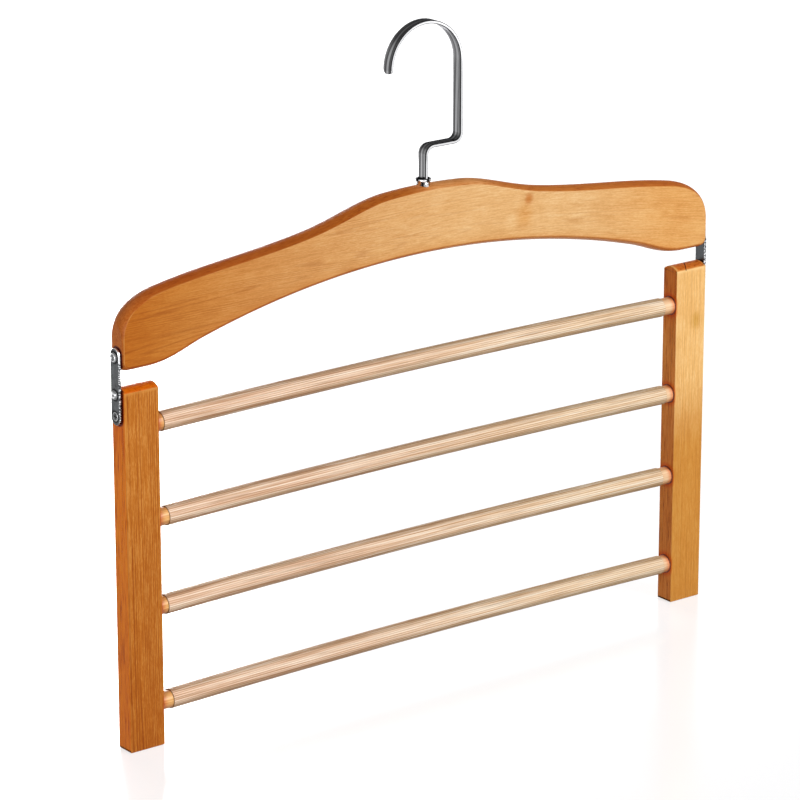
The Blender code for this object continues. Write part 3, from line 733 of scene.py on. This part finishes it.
def yoke():
    """The crest line moved inwards by the profile's inset at each depth, its ends sawn flat."""
    half = half_crest()
    outline = np.concatenate([half, half[-2:0:-1] * [-1, 1]])
    profile, edge, arris, at_crease = yoke_profile()
    ring = inset_rings(outline, profile)
    x = np.clip(ring[..., 0], -HALF_WIDTH, HALF_WIDTH)
    grid = np.stack([x, np.broadcast_to(profile[:, 1:], x.shape), ring[..., 1] + CREST], axis=-1)
    at_ends = np.clip((np.abs(x) - 0.165) / 0.03, 0, 1)
    down = np.clip(inward(outline)[:, 1], 0, 1)
    # painted highlight along the creases, stronger towards both ends and none where the edge faces down
    painted_crease_highlight = (0.35 + 0.95 * at_ends) * arris[:, None] * (1 - down)
    # the under mark is painted shade along the creases of the edges that face down
    marks = {"edge": edge[:, None], "arris": painted_crease_highlight, "under": at_crease[:, None] * down}
    wood = lacquered_wood("yoke_wood", 0, YOKE_TONES, YOKE_EDGE, (0.3, 0.1, 0.2), (0.34, 0.15), 0.45)
    material = stained_and_shaded(wood, yoke_stains_and_shade(wood[1]))
    piece("yoke_board", grid, "yoke", material, ["yoke"], caps=True, marks=marks)


def yoke_stains_and_shade(tree):
    """Deeper tones towards both ends, with painted shade over the left part and on the upper edge away from
    the hump and along its front; deeper over the arch, painted shade along its lower crease, deeper in the
    knot and below it, and a painted shadow round the plates."""
    x, y, z = (axis_value(tree, axis) for axis in (0, 1, 2))
    edge = mark(tree, "edge")
    # painted shade: the yoke deeper towards its left, and its faces deeper still at the left end
    leftward = times(between(x, 0.08, -0.24), scaled(edge, -0.15, 1.0))
    left_end = maths("SUBTRACT", between(x, -0.170, -0.222), edge, clamp=True)
    upper = maths("MAXIMUM", between(z, -0.145, -0.135), between(away(x), 0.205, 0.215))
    # painted shade on the upper edge away from the hump, with further tints along its front half and on the
    # left arm
    off_hump = times(edge, between(away(x, 0.022), 0.014, 0.040))
    off_hump = times(off_hump, between(x, -0.235, -0.185), upper)
    forward = times(off_hump, between(y, 0.000, -0.0055))
    left_arm = between(away(x, -0.065), 0.075, 0.035)
    arch_reach = distance(x, maths("SUBTRACT", z, ARCH_CENTRE))
    over_arch = between(arch_reach, ARCH_RADIUS + 0.009, ARCH_RADIUS + 0.001)
    return [
        (leftward, srgb(212, 166, 92)),
        (left_end, srgb(242, 226, 200)),
        (off_hump, srgb(246, 206, 140)),
        (forward, srgb(232, 240, 255)),
        (times(forward, left_arm), srgb(236, 226, 196)),
        (between(x, 0.11, 0.20), srgb(252, 234, 204)),
        (times(over_arch, 0.55), srgb(246, 220, 180)),
        # painted shade along the creases of the edges that face down
        (mark(tree, "under"), srgb(208, 178, 148)),
        (spot_share(tree, KNOT, (0.0050, 0.010, 0.0052)), srgb(226, 188, 150)),
        (spot_share(tree, UNDER_KNOT, (0.010, 0.010, 0.014)), srgb(246, 230, 206)),
        # painted shadow round the plate
        (plate_shade(tree), PLATE_SHADOW),
    ]


def post_outline(low, high):
    """Outline of a post across its thickness: flat foot, upright faces, crowned top, eased corners."""
    edge = math.degrees(math.asin(HALF_BOARD / CROWN_RADIUS)) - 2.5
    crease, foot = high.z - EDGE_CROWN, low.z
    seam = crease - FACE_RUN
    top = arc((0.0, high.z - CROWN_RADIUS), CROWN_RADIUS, 90 - edge, 90 + edge, POST_CROWN_STEPS)
    right, left = (HALF_BOARD, crease), (-HALF_BOARD, crease)
    near = bezier((HALF_BOARD, crease - ARRIS), right, right, top[0], ARRIS_STEPS)
    far = bezier(top[-1], left, left, (-HALF_BOARD, crease - ARRIS), ARRIS_STEPS)
    heel = arc((-HALF_BOARD + ARRIS, foot + ARRIS), ARRIS, 180, 270, ARRIS_STEPS)
    toe = arc((HALF_BOARD - ARRIS, foot + ARRIS), ARRIS, -90, 0, ARRIS_STEPS)
    down = join(line(far[-1], (-HALF_BOARD, seam), 1), line((-HALF_BOARD, seam), heel[0], 24))
    up = join(line(toe[-1], (HALF_BOARD, seam), 24), line((HALF_BOARD, seam), near[0], 1))
    return join(near, top, far, down, heel, line(heel[-1], toe[0], 4), toe, up)[:-1]


def post(side_name, tones, edge_tones, side_share, foot_shade, shift, lines):
    """The outline moved inwards over eased corners at both side faces, carried across the post's width."""
    low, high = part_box("post_" + side_name)
    outline = post_outline(low, high)[::-1]
    half = (high.x - low.x) / 2
    corner = eased_corner(half, ARRIS, 3)
    middle = line((0, FACE_RUN - half), (0, half - FACE_RUN), 2)
    profile = np.concatenate([corner[::-1] * [1, -1], middle, corner])
    grid = side_grid(outline, profile, (low.x + high.x) / 2)
    crowned = outline[:, 1] > high.z - EDGE_CROWN + 0.0001
    row = np.arange(len(profile))
    on_side = np.minimum(row, len(profile) - 1 - row) < 3
    edge = np.maximum(crowned.astype(float), side_share * on_side[:, None])
    # painted highlight along the post's upright arrises, half as strong below the crown, and along the
    # crown's creases
    rim = (np.abs(profile[:, 0] - 0.3 * ARRIS) < 0.35 * ARRIS) & (np.abs(profile[:, 1]) > half - FACE_RUN)
    crease = np.abs(outline[:, 1] - high.z + EDGE_CROWN) < 1.2 * ARRIS
    arris = np.maximum(rim[:, None] * np.where(crowned, 1.0, 0.5), crease)
    arris[[0, -1]] = 0.0
    marks = {"edge": edge, "arris": arris}
    wood = lacquered_wood("post_wood_" + side_name, 2, tones, edge_tones, shift, (lines, lines))
    material = stained_and_shaded(wood, post_stains_and_shade(wood[1], foot_shade, high.z))
    piece("post_board_" + side_name, grid, "rack", material, ["post_" + side_name], caps=True, marks=marks)


def post_stains_and_shade(tree, foot_shade, top):
    """A painted shade that deepens down the post, deeper edges near its top, painted red shade round the
    dowels with a dark painted shadow line at each hole, a smudge, a painted shadow round the plate and a
    check."""
    x, y, z = (axis_value(tree, axis) for axis in (0, 1, 2))
    edge = mark(tree, "edge")
    start, end, tone = foot_shade
    near_top = between(z, top - 0.055, top - 0.027)
    steps = [
        # painted shade: the post darker towards its foot, less so on its edges
        (times(between(z, start, end), scaled(edge, -0.6, 1.0)), tone),
        (times(near_top, edge), srgb(236, 212, 176)),
    ]
    inside = between(away(x), INNER_FACE + 0.0012, INNER_FACE + 0.0004)
    for number in BARS:
        radius, level, _ = bar_frame(number)
        # painted red shade round each dowel, and a dark painted shadow line at the hole's edge
        glow = times(round_share(tree, level, radius + 0.0008, 0.0035), inside)
        ring = times(round_share(tree, level, radius + 0.0004, 0.0005), inside)
        steps += [(glow, srgb(244, 194, 164)), (ring, srgb(110, 34, 16))]
    steps += [
        (spot_share(tree, SMUDGE, (0.0062, 0.010, 0.0095)), srgb(232, 222, 186)),
        # painted shadow round the plate
        (plate_shade(tree), PLATE_SHADOW),
        (check_share(x, y, z, top), srgb(80, 20, 8)),
    ]
    return steps


def check_share(x, y, z, top):
    """A fine check in the right post's end grain: 1 on a slanting line across the top, 0 beside it."""
    across = scaled(y, CHECK_ACROSS[1], times(x, CHECK_ACROSS[0]))
    on_line = between(away(across, CHECK_PLACE), 0.00050, 0.00015)
    on_top = between(z, top - 0.0032, top - 0.0024)
    return times(on_line, on_top, between(y, 0.0034, 0.0026))


# Bars


def bar_frame(number):
    """Radius, level at the posts and camber of a bar, read from its dowel."""
    low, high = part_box(f"dowel_{number}")
    radius = high.y
    level = low.z + radius
    return radius, level, high.z - radius - level


def bar_grid(x, radius, level, camber, angle):
    """Rings round an arched axis: its height is the camber times 1 less the square of x in half spans."""
    axis = level + camber * np.maximum(0, 1 - (x / INNER_FACE) ** 2)
    place = np.broadcast_to(x[:, None], radius.shape)
    return np.stack([place, radius * np.cos(angle), axis[:, None] + radius * np.sin(angle)], axis=-1)


def painted_rim_shade(angle):
    """Painted shade: 0 on a bar's bright side, front and a little up, rising smoothly to 1 along its top and
    underside.
    """
    return smooth(np.abs(np.sin(angle - FRONT_ANGLE)), 0.35, 0.80)


def dowel(number, material):
    """A round bar whose radius drops over an eased edge at both ends."""
    radius, level, camber = bar_frame(number)
    low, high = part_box(f"dowel_{number}")
    long_run = np.linspace(low.x + 0.01, high.x - 0.01, 40)
    x = np.concatenate([[low.x, low.x + DOWEL_EASE], long_run, [high.x - DOWEL_EASE, high.x]])
    drop = np.zeros(len(x))
    drop[[0, -1]] = DOWEL_EASE
    angle = np.linspace(0, 2 * np.pi, 64, endpoint=False)
    rings = np.broadcast_to((radius - drop)[:, None], (len(x), len(angle)))
    grid = bar_grid(x, rings, level, camber, angle)
    # painted shade along the top and underside
    marks = {"rim": painted_rim_shade(angle)}
    piece(f"dowel_rod_{number}", grid, "rack", material, [f"dowel_{number}"], caps=True, marks=marks)


def sleeve(number):
    """A ribbed tube: the outer radius is waved round the bar, and the bore is plain."""
    _, level, camber = bar_frame(number)
    low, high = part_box(f"sleeve_{number}")
    angle = np.linspace(0, 2 * np.pi, RIBS * RIB_STEPS, endpoint=False)
    left_end = low.x + CUT_EDGE * np.arange(3)
    right_end = high.x - CUT_EDGE * np.arange(3)[::-1]
    out = np.concatenate([left_end, np.linspace(low.x + 0.002, high.x - 0.002, 60), right_end])
    x = np.concatenate([out, out[::-1]])
    # the wave shapes the ribs and also marks the grooves, which get painted shade
    wave = 0.5 - 0.5 * np.cos(RIBS * angle)
    outside = (np.arange(len(x)) < len(out))[:, None]
    radius = np.where(outside, high.y - RIB_HEIGHT * wave, high.y - SLEEVE_WALL)
    grid = bar_grid(x, radius, level, camber, angle)
    # the cut ends: the cut edge's own dark and painted shadow in the gap, weaker at the right end
    cut_and_gap_shade = 1.0 * (x < low.x + 0.5 * CUT_EDGE) + 0.2 * (x > high.x - 0.5 * CUT_EDGE)
    # the rim mark is painted shade along the top and underside
    marks = {"groove": wave * outside, "cut_and_gap_shade": cut_and_gap_shade[:, None], "rim": painted_rim_shade(angle)}
    material = ribbed_vinyl(f"sleeve_vinyl_{number}", (0.17 * number, 0.31 * number, 0.23 * number))
    piece(
        f"sleeve_tube_{number}", grid, "rack", material, [f"sleeve_{number}"],
        wrap_rows=True, marks=marks, sharp=60,
    )


def painted_shadow_ring(number, word, side, material):
    """A painted shadow where a dowel enters the post: a thin dark bead, a quarter round turned about the bar.
    """
    radius, level, _ = bar_frame(number)
    bead = SHADOW_RING_BEAD * np.array([[-0.5, 0.0], [1.0, 0.0], [0.7, 0.7], [0.0, 1.0], [-0.5, 1.0]])
    ring = turned(bead + [radius, 0.0], 48)
    grid = np.stack([side * (INNER_FACE - ring[..., 2]), ring[..., 0], level + ring[..., 1]], axis=-1)
    piece(f"painted_shadow_ring_{word}_{number}", grid, "rack", material, wrap_rows=True)


# Hook and ferrule


def hook_path():
    """Centre line of the strip in the XZ plane: half circle, straight stem, two bends and the lower stem.

    Its first points crowd at the tip, as one less the cosine of an even run of angles."""
    radius = HOOK_INNER_RADIUS + STRIP_THICKNESS / 2
    centre = -HOOK_INNER_RADIUS
    jog = CREST + JOG_RISE
    rise = TIP_DROP * (1 - np.cos(np.linspace(0, np.pi / 2, TIP_POINTS)))
    tip = np.stack([np.full(TIP_POINTS, -radius), centre - TIP_DROP + rise], axis=-1)
    crown = arc((0, centre), radius, 180, 0, HOOK_STEPS)
    bend = arc((radius - BEND_RADIUS, jog + BEND_RADIUS), BEND_RADIUS, 0, -90, BEND_STEPS)
    turn = arc((BEND_RADIUS, jog - BEND_RADIUS), BEND_RADIUS, 90, 180, BEND_STEPS)
    stem = line(crown[-1], bend[0], 12)
    level = line(bend[-1], turn[0], 8)
    foot = line(turn[-1], (0.0, STRIP_FOOT), FOOT_STEPS)
    return join(tip, crown, stem, bend, level, turn, foot)


def strip_section():
    """A flat strip's section, thickness by half width: straight sides joined by quarter circles."""
    thick, half, ease = STRIP_THICKNESS / 2, STRIP_WIDTH / 2, STRIP_EDGE
    corner = arc((thick - ease, half - ease), ease, 0, 90, 5)
    flat = line((thick, 0), (thick, half - 1.6 * ease), 2)
    top = line((thick - 1.4 * ease, half), (0, half), 1)
    quarter = np.concatenate([flat, corner, top])
    upper = np.concatenate([quarter, quarter[-2::-1] * [-1, 1]])
    return np.concatenate([upper, upper[-2:0:-1] * [1, -1]])


def strip_widths(path):
    """Half the strip's width along the path: a circle's over the tip, and a smooth taper above the foot."""
    half = STRIP_WIDTH / 2
    run = np.concatenate([[0.0], np.cumsum(np.linalg.norm(np.diff(path, axis=0), axis=1))])
    short = TIP_RADIUS - np.clip(run, 0, TIP_RADIUS)
    width = half - TIP_RADIUS + np.sqrt(TIP_RADIUS**2 - short**2)
    taper_top = CREST + JOG_RISE - BEND_RADIUS
    share = smooth(path[:, 1], taper_top - FOOT_TAPER, taper_top)
    on_foot = np.arange(len(path)) >= len(path) - FOOT_STEPS
    return np.where(on_foot, FOOT_WIDTH / 2 + (half - FOOT_WIDTH / 2) * share, width)


def hook():
    """The strip's section carried along the path, square to it, over a round shank with a peened foot."""
    path = hook_path()
    chord = np.gradient(path, axis=0)
    normal = np.stack([chord[:, 1], -chord[:, 0]], axis=-1)
    normal /= np.linalg.norm(normal, axis=1, keepdims=True)
    section = strip_section()
    half = STRIP_WIDTH / 2
    place = path[:, None, :] + section[None, :, :1] * normal[:, None, :]
    across = section[None, :, 1] / half * strip_widths(path)[:, None]
    grid = np.stack([place[..., 0], across, place[..., 1]], axis=-1)
    material = chrome("hook_chrome", (0.27, 0.27, 0.275), (0.92, 0.92, 0.93), (9, 560, 9))
    # painted highlight on the strip's edge faces, marked as edge
    past_face = (np.abs(section[:, 1]) - half) / STRIP_EDGE + 1
    from_face = (STRIP_THICKNESS / 2 - np.abs(section[:, 0])) / STRIP_EDGE
    # the seam mark on the rounded corners is a painted dark reflection
    marks = {"edge": past_face > 0.94, "seam": (past_face > 0.15) & (from_face < 0.85)}
    piece("hook_strip", grid, "hook", material, ["hook"], caps=True, marks=marks, sharp=40)
    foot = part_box("hook")[0].z
    head = foot + SHANK_HEAD_HEIGHT
    profile = np.array(
        [
            [0.0, SHANK_TOP], [SHANK_RADIUS - SHANK_EASE, SHANK_TOP], [SHANK_RADIUS, SHANK_TOP - SHANK_EASE],
            [SHANK_RADIUS, head], [SHANK_HEAD_RADIUS - SHANK_EASE, head],
            [SHANK_HEAD_RADIUS, head - SHANK_EASE], [SHANK_HEAD_RADIUS - SHANK_EASE, foot], [0.0, foot],
        ]
    )
    # painted highlight at half strength over the shank
    piece("hook_shank", turned(profile), "hook", material, marks={"edge": 0.5})


def ferrule():
    """A turned cup with a rolled lip, standing on the crown of the yoke over a plain spigot. Its painted dark
    reflections lie in bands that follow a cosine of the angle round it, and change places between rim and
    body."""
    low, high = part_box("hook_ferrule")
    top, rim, lip = high.z, high.x, FERRULE_LIP
    under_rim, cup = top - FERRULE_RIM, top - FERRULE_CUP
    straight = np.array(
        [
            [FERRULE_WAIST + 0.0002, under_rim], [FERRULE_WAIST, under_rim - 0.0003],
            [FERRULE_WAIST, FERRULE_SEAT], [SPIGOT_RADIUS, FERRULE_SEAT],
            [SPIGOT_RADIUS, low.z], [FERRULE_BORE, low.z], [FERRULE_BORE, cup],
            [FERRULE_MOUTH - 0.0004, cup], [FERRULE_MOUTH, cup + 0.0004],
        ]
    )
    outer = arc((rim - lip, top - lip), lip, 90, 0, 6)
    under = arc((rim - lip, under_rim + lip), lip, 0, -90, 6)
    inner = arc((FERRULE_MOUTH + lip, top - lip), lip, 180, 90, 6)
    grid = turned(np.concatenate([outer, under, straight, inner]))
    material = chrome("ferrule_chrome", (0.70, 0.70, 0.71), (0.86, 0.86, 0.87), (300, 300, 900))
    on_rim = grid[..., 2] > under_rim
    # painted dark reflections in bands round the ferrule
    wave = np.cos(FERRULE_BANDS * (np.arctan2(grid[..., 1], grid[..., 0]) - BAND_ANGLE))
    seam = np.where(on_rim, np.clip(-0.2 - 1.6 * wave, 0, 1), np.clip(1.8 * wave - 0.6, 0, 1))
    # painted highlight on the rim
    marks = {"edge": on_rim, "seam": seam}
    piece("ferrule_cup", grid, "yoke", material, ["hook_ferrule"], wrap_rows=True, marks=marks, sharp=40)


# Link plates and screws


def link_plate(side_name, side, material):
    """A flat link: straight sides and half-round ends, moved inwards over eased edges at both faces."""
    low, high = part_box("link_plate_" + side_name)
    radius = (high.y - low.y) / 2
    upper = arc((0, high.z - radius), radius, 0, 180, 40)
    lower = arc((0, low.z + radius), radius, 180, 360, 40)
    outline = join(upper, line(upper[-1], lower[0], 16), lower, line(lower[-1], upper[0], 16))[-2::-1]
    corner = eased_corner((high.x - low.x) / 2, PLATE_EDGE, 2.5)
    profile = np.concatenate([corner[::-1] * [1, -1], corner])
    grid = side_grid(outline, profile * [1, side], (low.x + high.x) / 2)
    rim = (profile[:, 0] < 0.5 * PLATE_EDGE)[:, None]
    # painted highlight on the plate's rim, in notches, and unbroken round its upper end
    marks = {"edge": rim, "bright": rim & (grid[..., 2] > high.z - 1.6 * radius)}
    piece("link_" + side_name, grid, "rack", material, ["link_plate_" + side_name], caps=True, marks=marks)


def screw(node, side, body, material, head, shine, recess_share):
    """A turned screw along X, with a cross sunk in its head: a point is in it where it is less than half a
    slot from one middle line and less than the cross's reach from the other, both with soft sides. The
    shine is a painted highlight from the middle of the head to its rim."""
    low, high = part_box(node)
    level, radius = (low.z + high.z) / 2, (high.z - low.z) / 2
    outer, tip = (high.x, low.x) if side > 0 else (-low.x, -high.x)
    shank = PIVOT_SHANK if node.startswith("pivot") else PLATE_SHANK
    below = [[radius, PLATE_FACE + 0.0001], [shank, PLATE_FACE], [shank, tip + POINT_LENGTH], [0.0, tip]]
    share = np.linspace(0, 1, HEAD_STEPS)
    profile = np.concatenate([np.stack([radius * share, head(share, outer)], axis=-1), below])
    grid = turned(profile, 72)
    along, up, height = np.moveaxis(grid, -1, 0)
    narrow, wide = np.minimum(abs(along), abs(up)), np.maximum(abs(along), abs(up))
    in_slot = 1 / (1 + np.exp((narrow - RECESS_WIDTH / 2) / RECESS_SIDE))
    inside = in_slot / (1 + np.exp((wide - radius * recess_share) / RECESS_END))
    on_head = (np.arange(len(profile)) < HEAD_STEPS)[:, None]
    placed = np.stack([side * (height - RECESS_DEPTH * inside * on_head), along, level + up], axis=-1)
    painted_head_highlight = np.concatenate([shine(share), np.zeros(len(below))])
    marks = {"bright": painted_head_highlight[:, None] * (1 - inside)}
    piece(node + "_turned", placed, body, material, [node], marks=marks, sharp=50)


def domed_head(share, top):
    """A dome: the height falls with the share of the radius to the power 2.6, steepest at the rim."""
    return top - (top - HEAD_SEAT) * share**2.6


def domed_shine(share):
    """Painted highlight over the dome, about a third of the way out."""
    return bell(share, 0.35, 0.30)


def dished_head(share, top):
    """A round rim about a shallow dish: a bell at 0.72 of the radius, which sinks to the seat by the square
    of the way beyond 0.86."""
    height = (top - HEAD_SEAT) * (0.22 + 0.78 * bell(share, 0.72, 0.20))
    return HEAD_SEAT + height * (1 - np.clip((share - 0.86) / 0.14, 0, 1) ** 2)


def dished_shine(share):
    """Painted highlight on the dish's rim."""
    return 0.7 * bell(share, 0.74, 0.12)


def flush_head(share, top):
    """A countersunk head: a shallow dish whose rim, a bell at 0.88 of the radius, stands above the plate."""
    return top + FLUSH_RIM * (0.25 + 0.75 * bell(share, 0.88, 0.10) - share**16)


def flush_shine(share):
    """Painted highlight on the flush head's rim."""
    return 0.45 * bell(share, 0.88, 0.08)


def head_circles():
    """Level and radius of each screw head on a link plate."""
    boxes = [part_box(name + "_left") for name in ("pivot_screw", "plate_screw_upper", "plate_screw_lower")]
    return [((low.z + high.z) / 2, (high.z - low.z) / 2) for low, high in boxes]


# Stage


def bare_nodes(holder):
    """The emptied nodes of a material or a world."""
    holder.use_nodes = True
    holder.node_tree.nodes.clear()
    return holder.node_tree


def plane(name, place, size):
    """A flat square of the stage."""
    bpy.ops.mesh.primitive_plane_add(size=size, location=place)
    made = bpy.context.object
    made.name = name
    return made


def facing(place, aim, front):
    """The turn that points an object's front from its place at its aim."""
    return (Vector(aim) - Vector(place)).to_track_quat(front, "Y").to_euler()


def seen_directly(rays):
    """1 for what the camera and mirrors see."""
    return maths("MAXIMUM", rays["Is Camera Ray"], rays["Is Glossy Ray"])


def floor():
    """A wide pale floor under the feet. Seen by the camera it is near white and keeps shadows and a faint
    mirror image; seen from below it is clear."""
    ground = plane("studio_floor", (0, 0, FLOOR - 0.0002), 30)
    material = bpy.data.materials.new("studio_floor")
    tree = bare_nodes(material)
    seen = seen_directly(add(tree, "ShaderNodeLightPath").outputs)
    diffuse = add(tree, "ShaderNodeBsdfDiffuse", Color=(0.42, 0.42, 0.42, 1.0)).outputs[0]
    shade = add(tree, "ShaderNodeBsdfDiffuse", Color=(0.30, 0.30, 0.31, 1.0)).outputs[0]
    outward = between(vectors("LENGTH", object_place(tree)), 0.35, 1.6)
    strength = scaled(outward, FAR_FLOOR_GLOW - FLOOR_GLOW, FLOOR_GLOW)
    glow = add(tree, "ShaderNodeEmission", Color=WHITE, Strength=strength).outputs[0]
    mirror = add(tree, "ShaderNodeBsdfGlossy", Color=WHITE, Roughness=0.20).outputs[0]
    matt = add(tree, "ShaderNodeAddShader")
    wire_in_order(matt, (shade, glow))
    shiny = mix_shaders(FLOOR_MIRROR, matt.outputs[0], mirror)
    above = mix_shaders(seen, diffuse, shiny)
    clear = add(tree, "ShaderNodeBsdfTransparent").outputs[0]
    under = add(tree, "ShaderNodeNewGeometry").outputs["Backfacing"]
    add(tree, "ShaderNodeOutputMaterial", Surface=mix_shaders(under, above, clear))
    ground.data.materials.append(material)


def surroundings():
    """White to the camera, to mirrors and through glass; a dimmer fill for what it lights."""
    world = bpy.data.worlds.new("studio")
    bpy.context.scene.world = world
    tree = bare_nodes(world)
    rays = add(tree, "ShaderNodeLightPath").outputs
    seen = maths("MAXIMUM", seen_directly(rays), rays["Is Transmission Ray"])
    fill = add(tree, "ShaderNodeBackground", Color=WHITE, Strength=FILL_LIGHT).outputs[0]
    white = add(tree, "ShaderNodeBackground", Color=WHITE, Strength=1.0).outputs[0]
    add(tree, "ShaderNodeOutputWorld", Surface=mix_shaders(seen, fill, white))


def softbox(name, place, aim, size, power):
    """A square soft light that faces a point."""
    data = bpy.data.lights.new(name, "AREA")
    data.shape = "SQUARE"
    data.size = size
    data.energy = power
    lamp = bpy.data.objects.new(name, data)
    lamp.location = place
    lamp.rotation_euler = facing(place, aim, "-Z")
    lamp.visible_camera = False
    bpy.context.scene.collection.objects.link(lamp)


def grey_card(name, place, aim, size, tones, fade):
    """A card beside the set that only mirrors see, so that bright metal has something grey to show.

    Across its width it goes from the first tone to the second."""
    card = plane(name, place, 1)
    card.scale = (*size, 1)
    card.rotation_euler = facing(place, aim, "Z")
    card.visible_camera = False
    card.visible_diffuse = False
    card.visible_shadow = False
    card.visible_transmission = False
    material = bpy.data.materials.new(name)
    tree = bare_nodes(material)
    near, far = (dimmed(WHITE, tone) for tone in tones)
    shade = mix(between(axis_value(tree, 0), *fade), near, far)
    glow = add(tree, "ShaderNodeEmission", Color=shade, Strength=1.0).outputs[0]
    add(tree, "ShaderNodeOutputMaterial", Surface=glow)
    card.data.materials.append(material)


def camera():
    """The camera at the photograph's angle, level from side to side."""
    data = bpy.data.cameras.new("camera")
    data.sensor_width = SENSOR
    data.lens = FOCAL_PIXELS / FRAME_PIXELS * SENSOR
    data.clip_end = 100
    eye = bpy.data.objects.new("camera", data)
    eye.location = CAMERA_PLACE
    eye.rotation_euler = (math.radians(90 - CAMERA_PITCH), 0, math.radians(-CAMERA_YAW))
    bpy.context.scene.collection.objects.link(eye)
    bpy.context.scene.camera = eye


camera()
surroundings()
floor()
softbox("key_softbox", (0.75, -1.90, 0.85), (0.05, 0.0, -0.28), 0.9, 42)
softbox("left_softbox", (-1.15, -0.55, -0.02), (-0.20, 0.0, -0.28), 0.5, 7)
softbox("back_softbox", (0.60, 1.90, 0.12), (0.0, 0.0, -0.28), 0.9, 32)
grey_card("back_card", (0.25, 0.32, 0.58), (0.25, 0.0, 0.58), (2.4, 1.4), (0.85, 0.26), (-0.23, -0.15))

yoke()
post(
    "left", LEFT_TONES, LEFT_EDGE, side_share=0.85, foot_shade=(-0.20, -0.42, srgb(242, 228, 206)),
    shift=(0.7, 0.4, 0.9), lines=0.75,
)
post(
    "right", RIGHT_TONES, RIGHT_EDGE, side_share=1.0, foot_shade=(-0.25, -0.31, srgb(220, 190, 136)),
    shift=(1.7, 2.4, 0.2), lines=0.30,
)
bare_dowel = turned_dowel_wood("dowel_wood")
# dark beads painted as the shadow where the dowels enter the posts
shadow_ring_material = shadow_ring_finish("shadow_ring_material")
for bar in BARS:
    dowel(bar, bare_dowel)
    sleeve(bar)
    painted_shadow_ring(bar, "left", -1, shadow_ring_material)
    painted_shadow_ring(bar, "right", 1, shadow_ring_material)
hook()
ferrule()
plate_nickel = nickel_plate("plate_nickel", (0.105, 0.112, 0.118, 1.0), srgb(232, 232, 234), head_circles())
screw_nickel = nickel_plate("screw_nickel", (0.17, 0.175, 0.18, 1.0), srgb(236, 236, 238))
for word, sign in (("left", -1), ("right", 1)):
    link_plate(word, sign, plate_nickel)
    screw("pivot_screw_" + word, sign, "yoke", screw_nickel, dished_head, dished_shine, 0.0)
    screw("plate_screw_upper_" + word, sign, "rack", screw_nickel, domed_head, domed_shine, 0.50)
    screw("plate_screw_lower_" + word, sign, "rack", screw_nickel, flush_head, flush_shine, 0.60)
insert_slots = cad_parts["hook_insert"].data.materials
insert_slots.clear()
insert_slots.append(plain_brass("insert_brass"))

bpy.context.scene.view_settings.view_transform = "Standard"
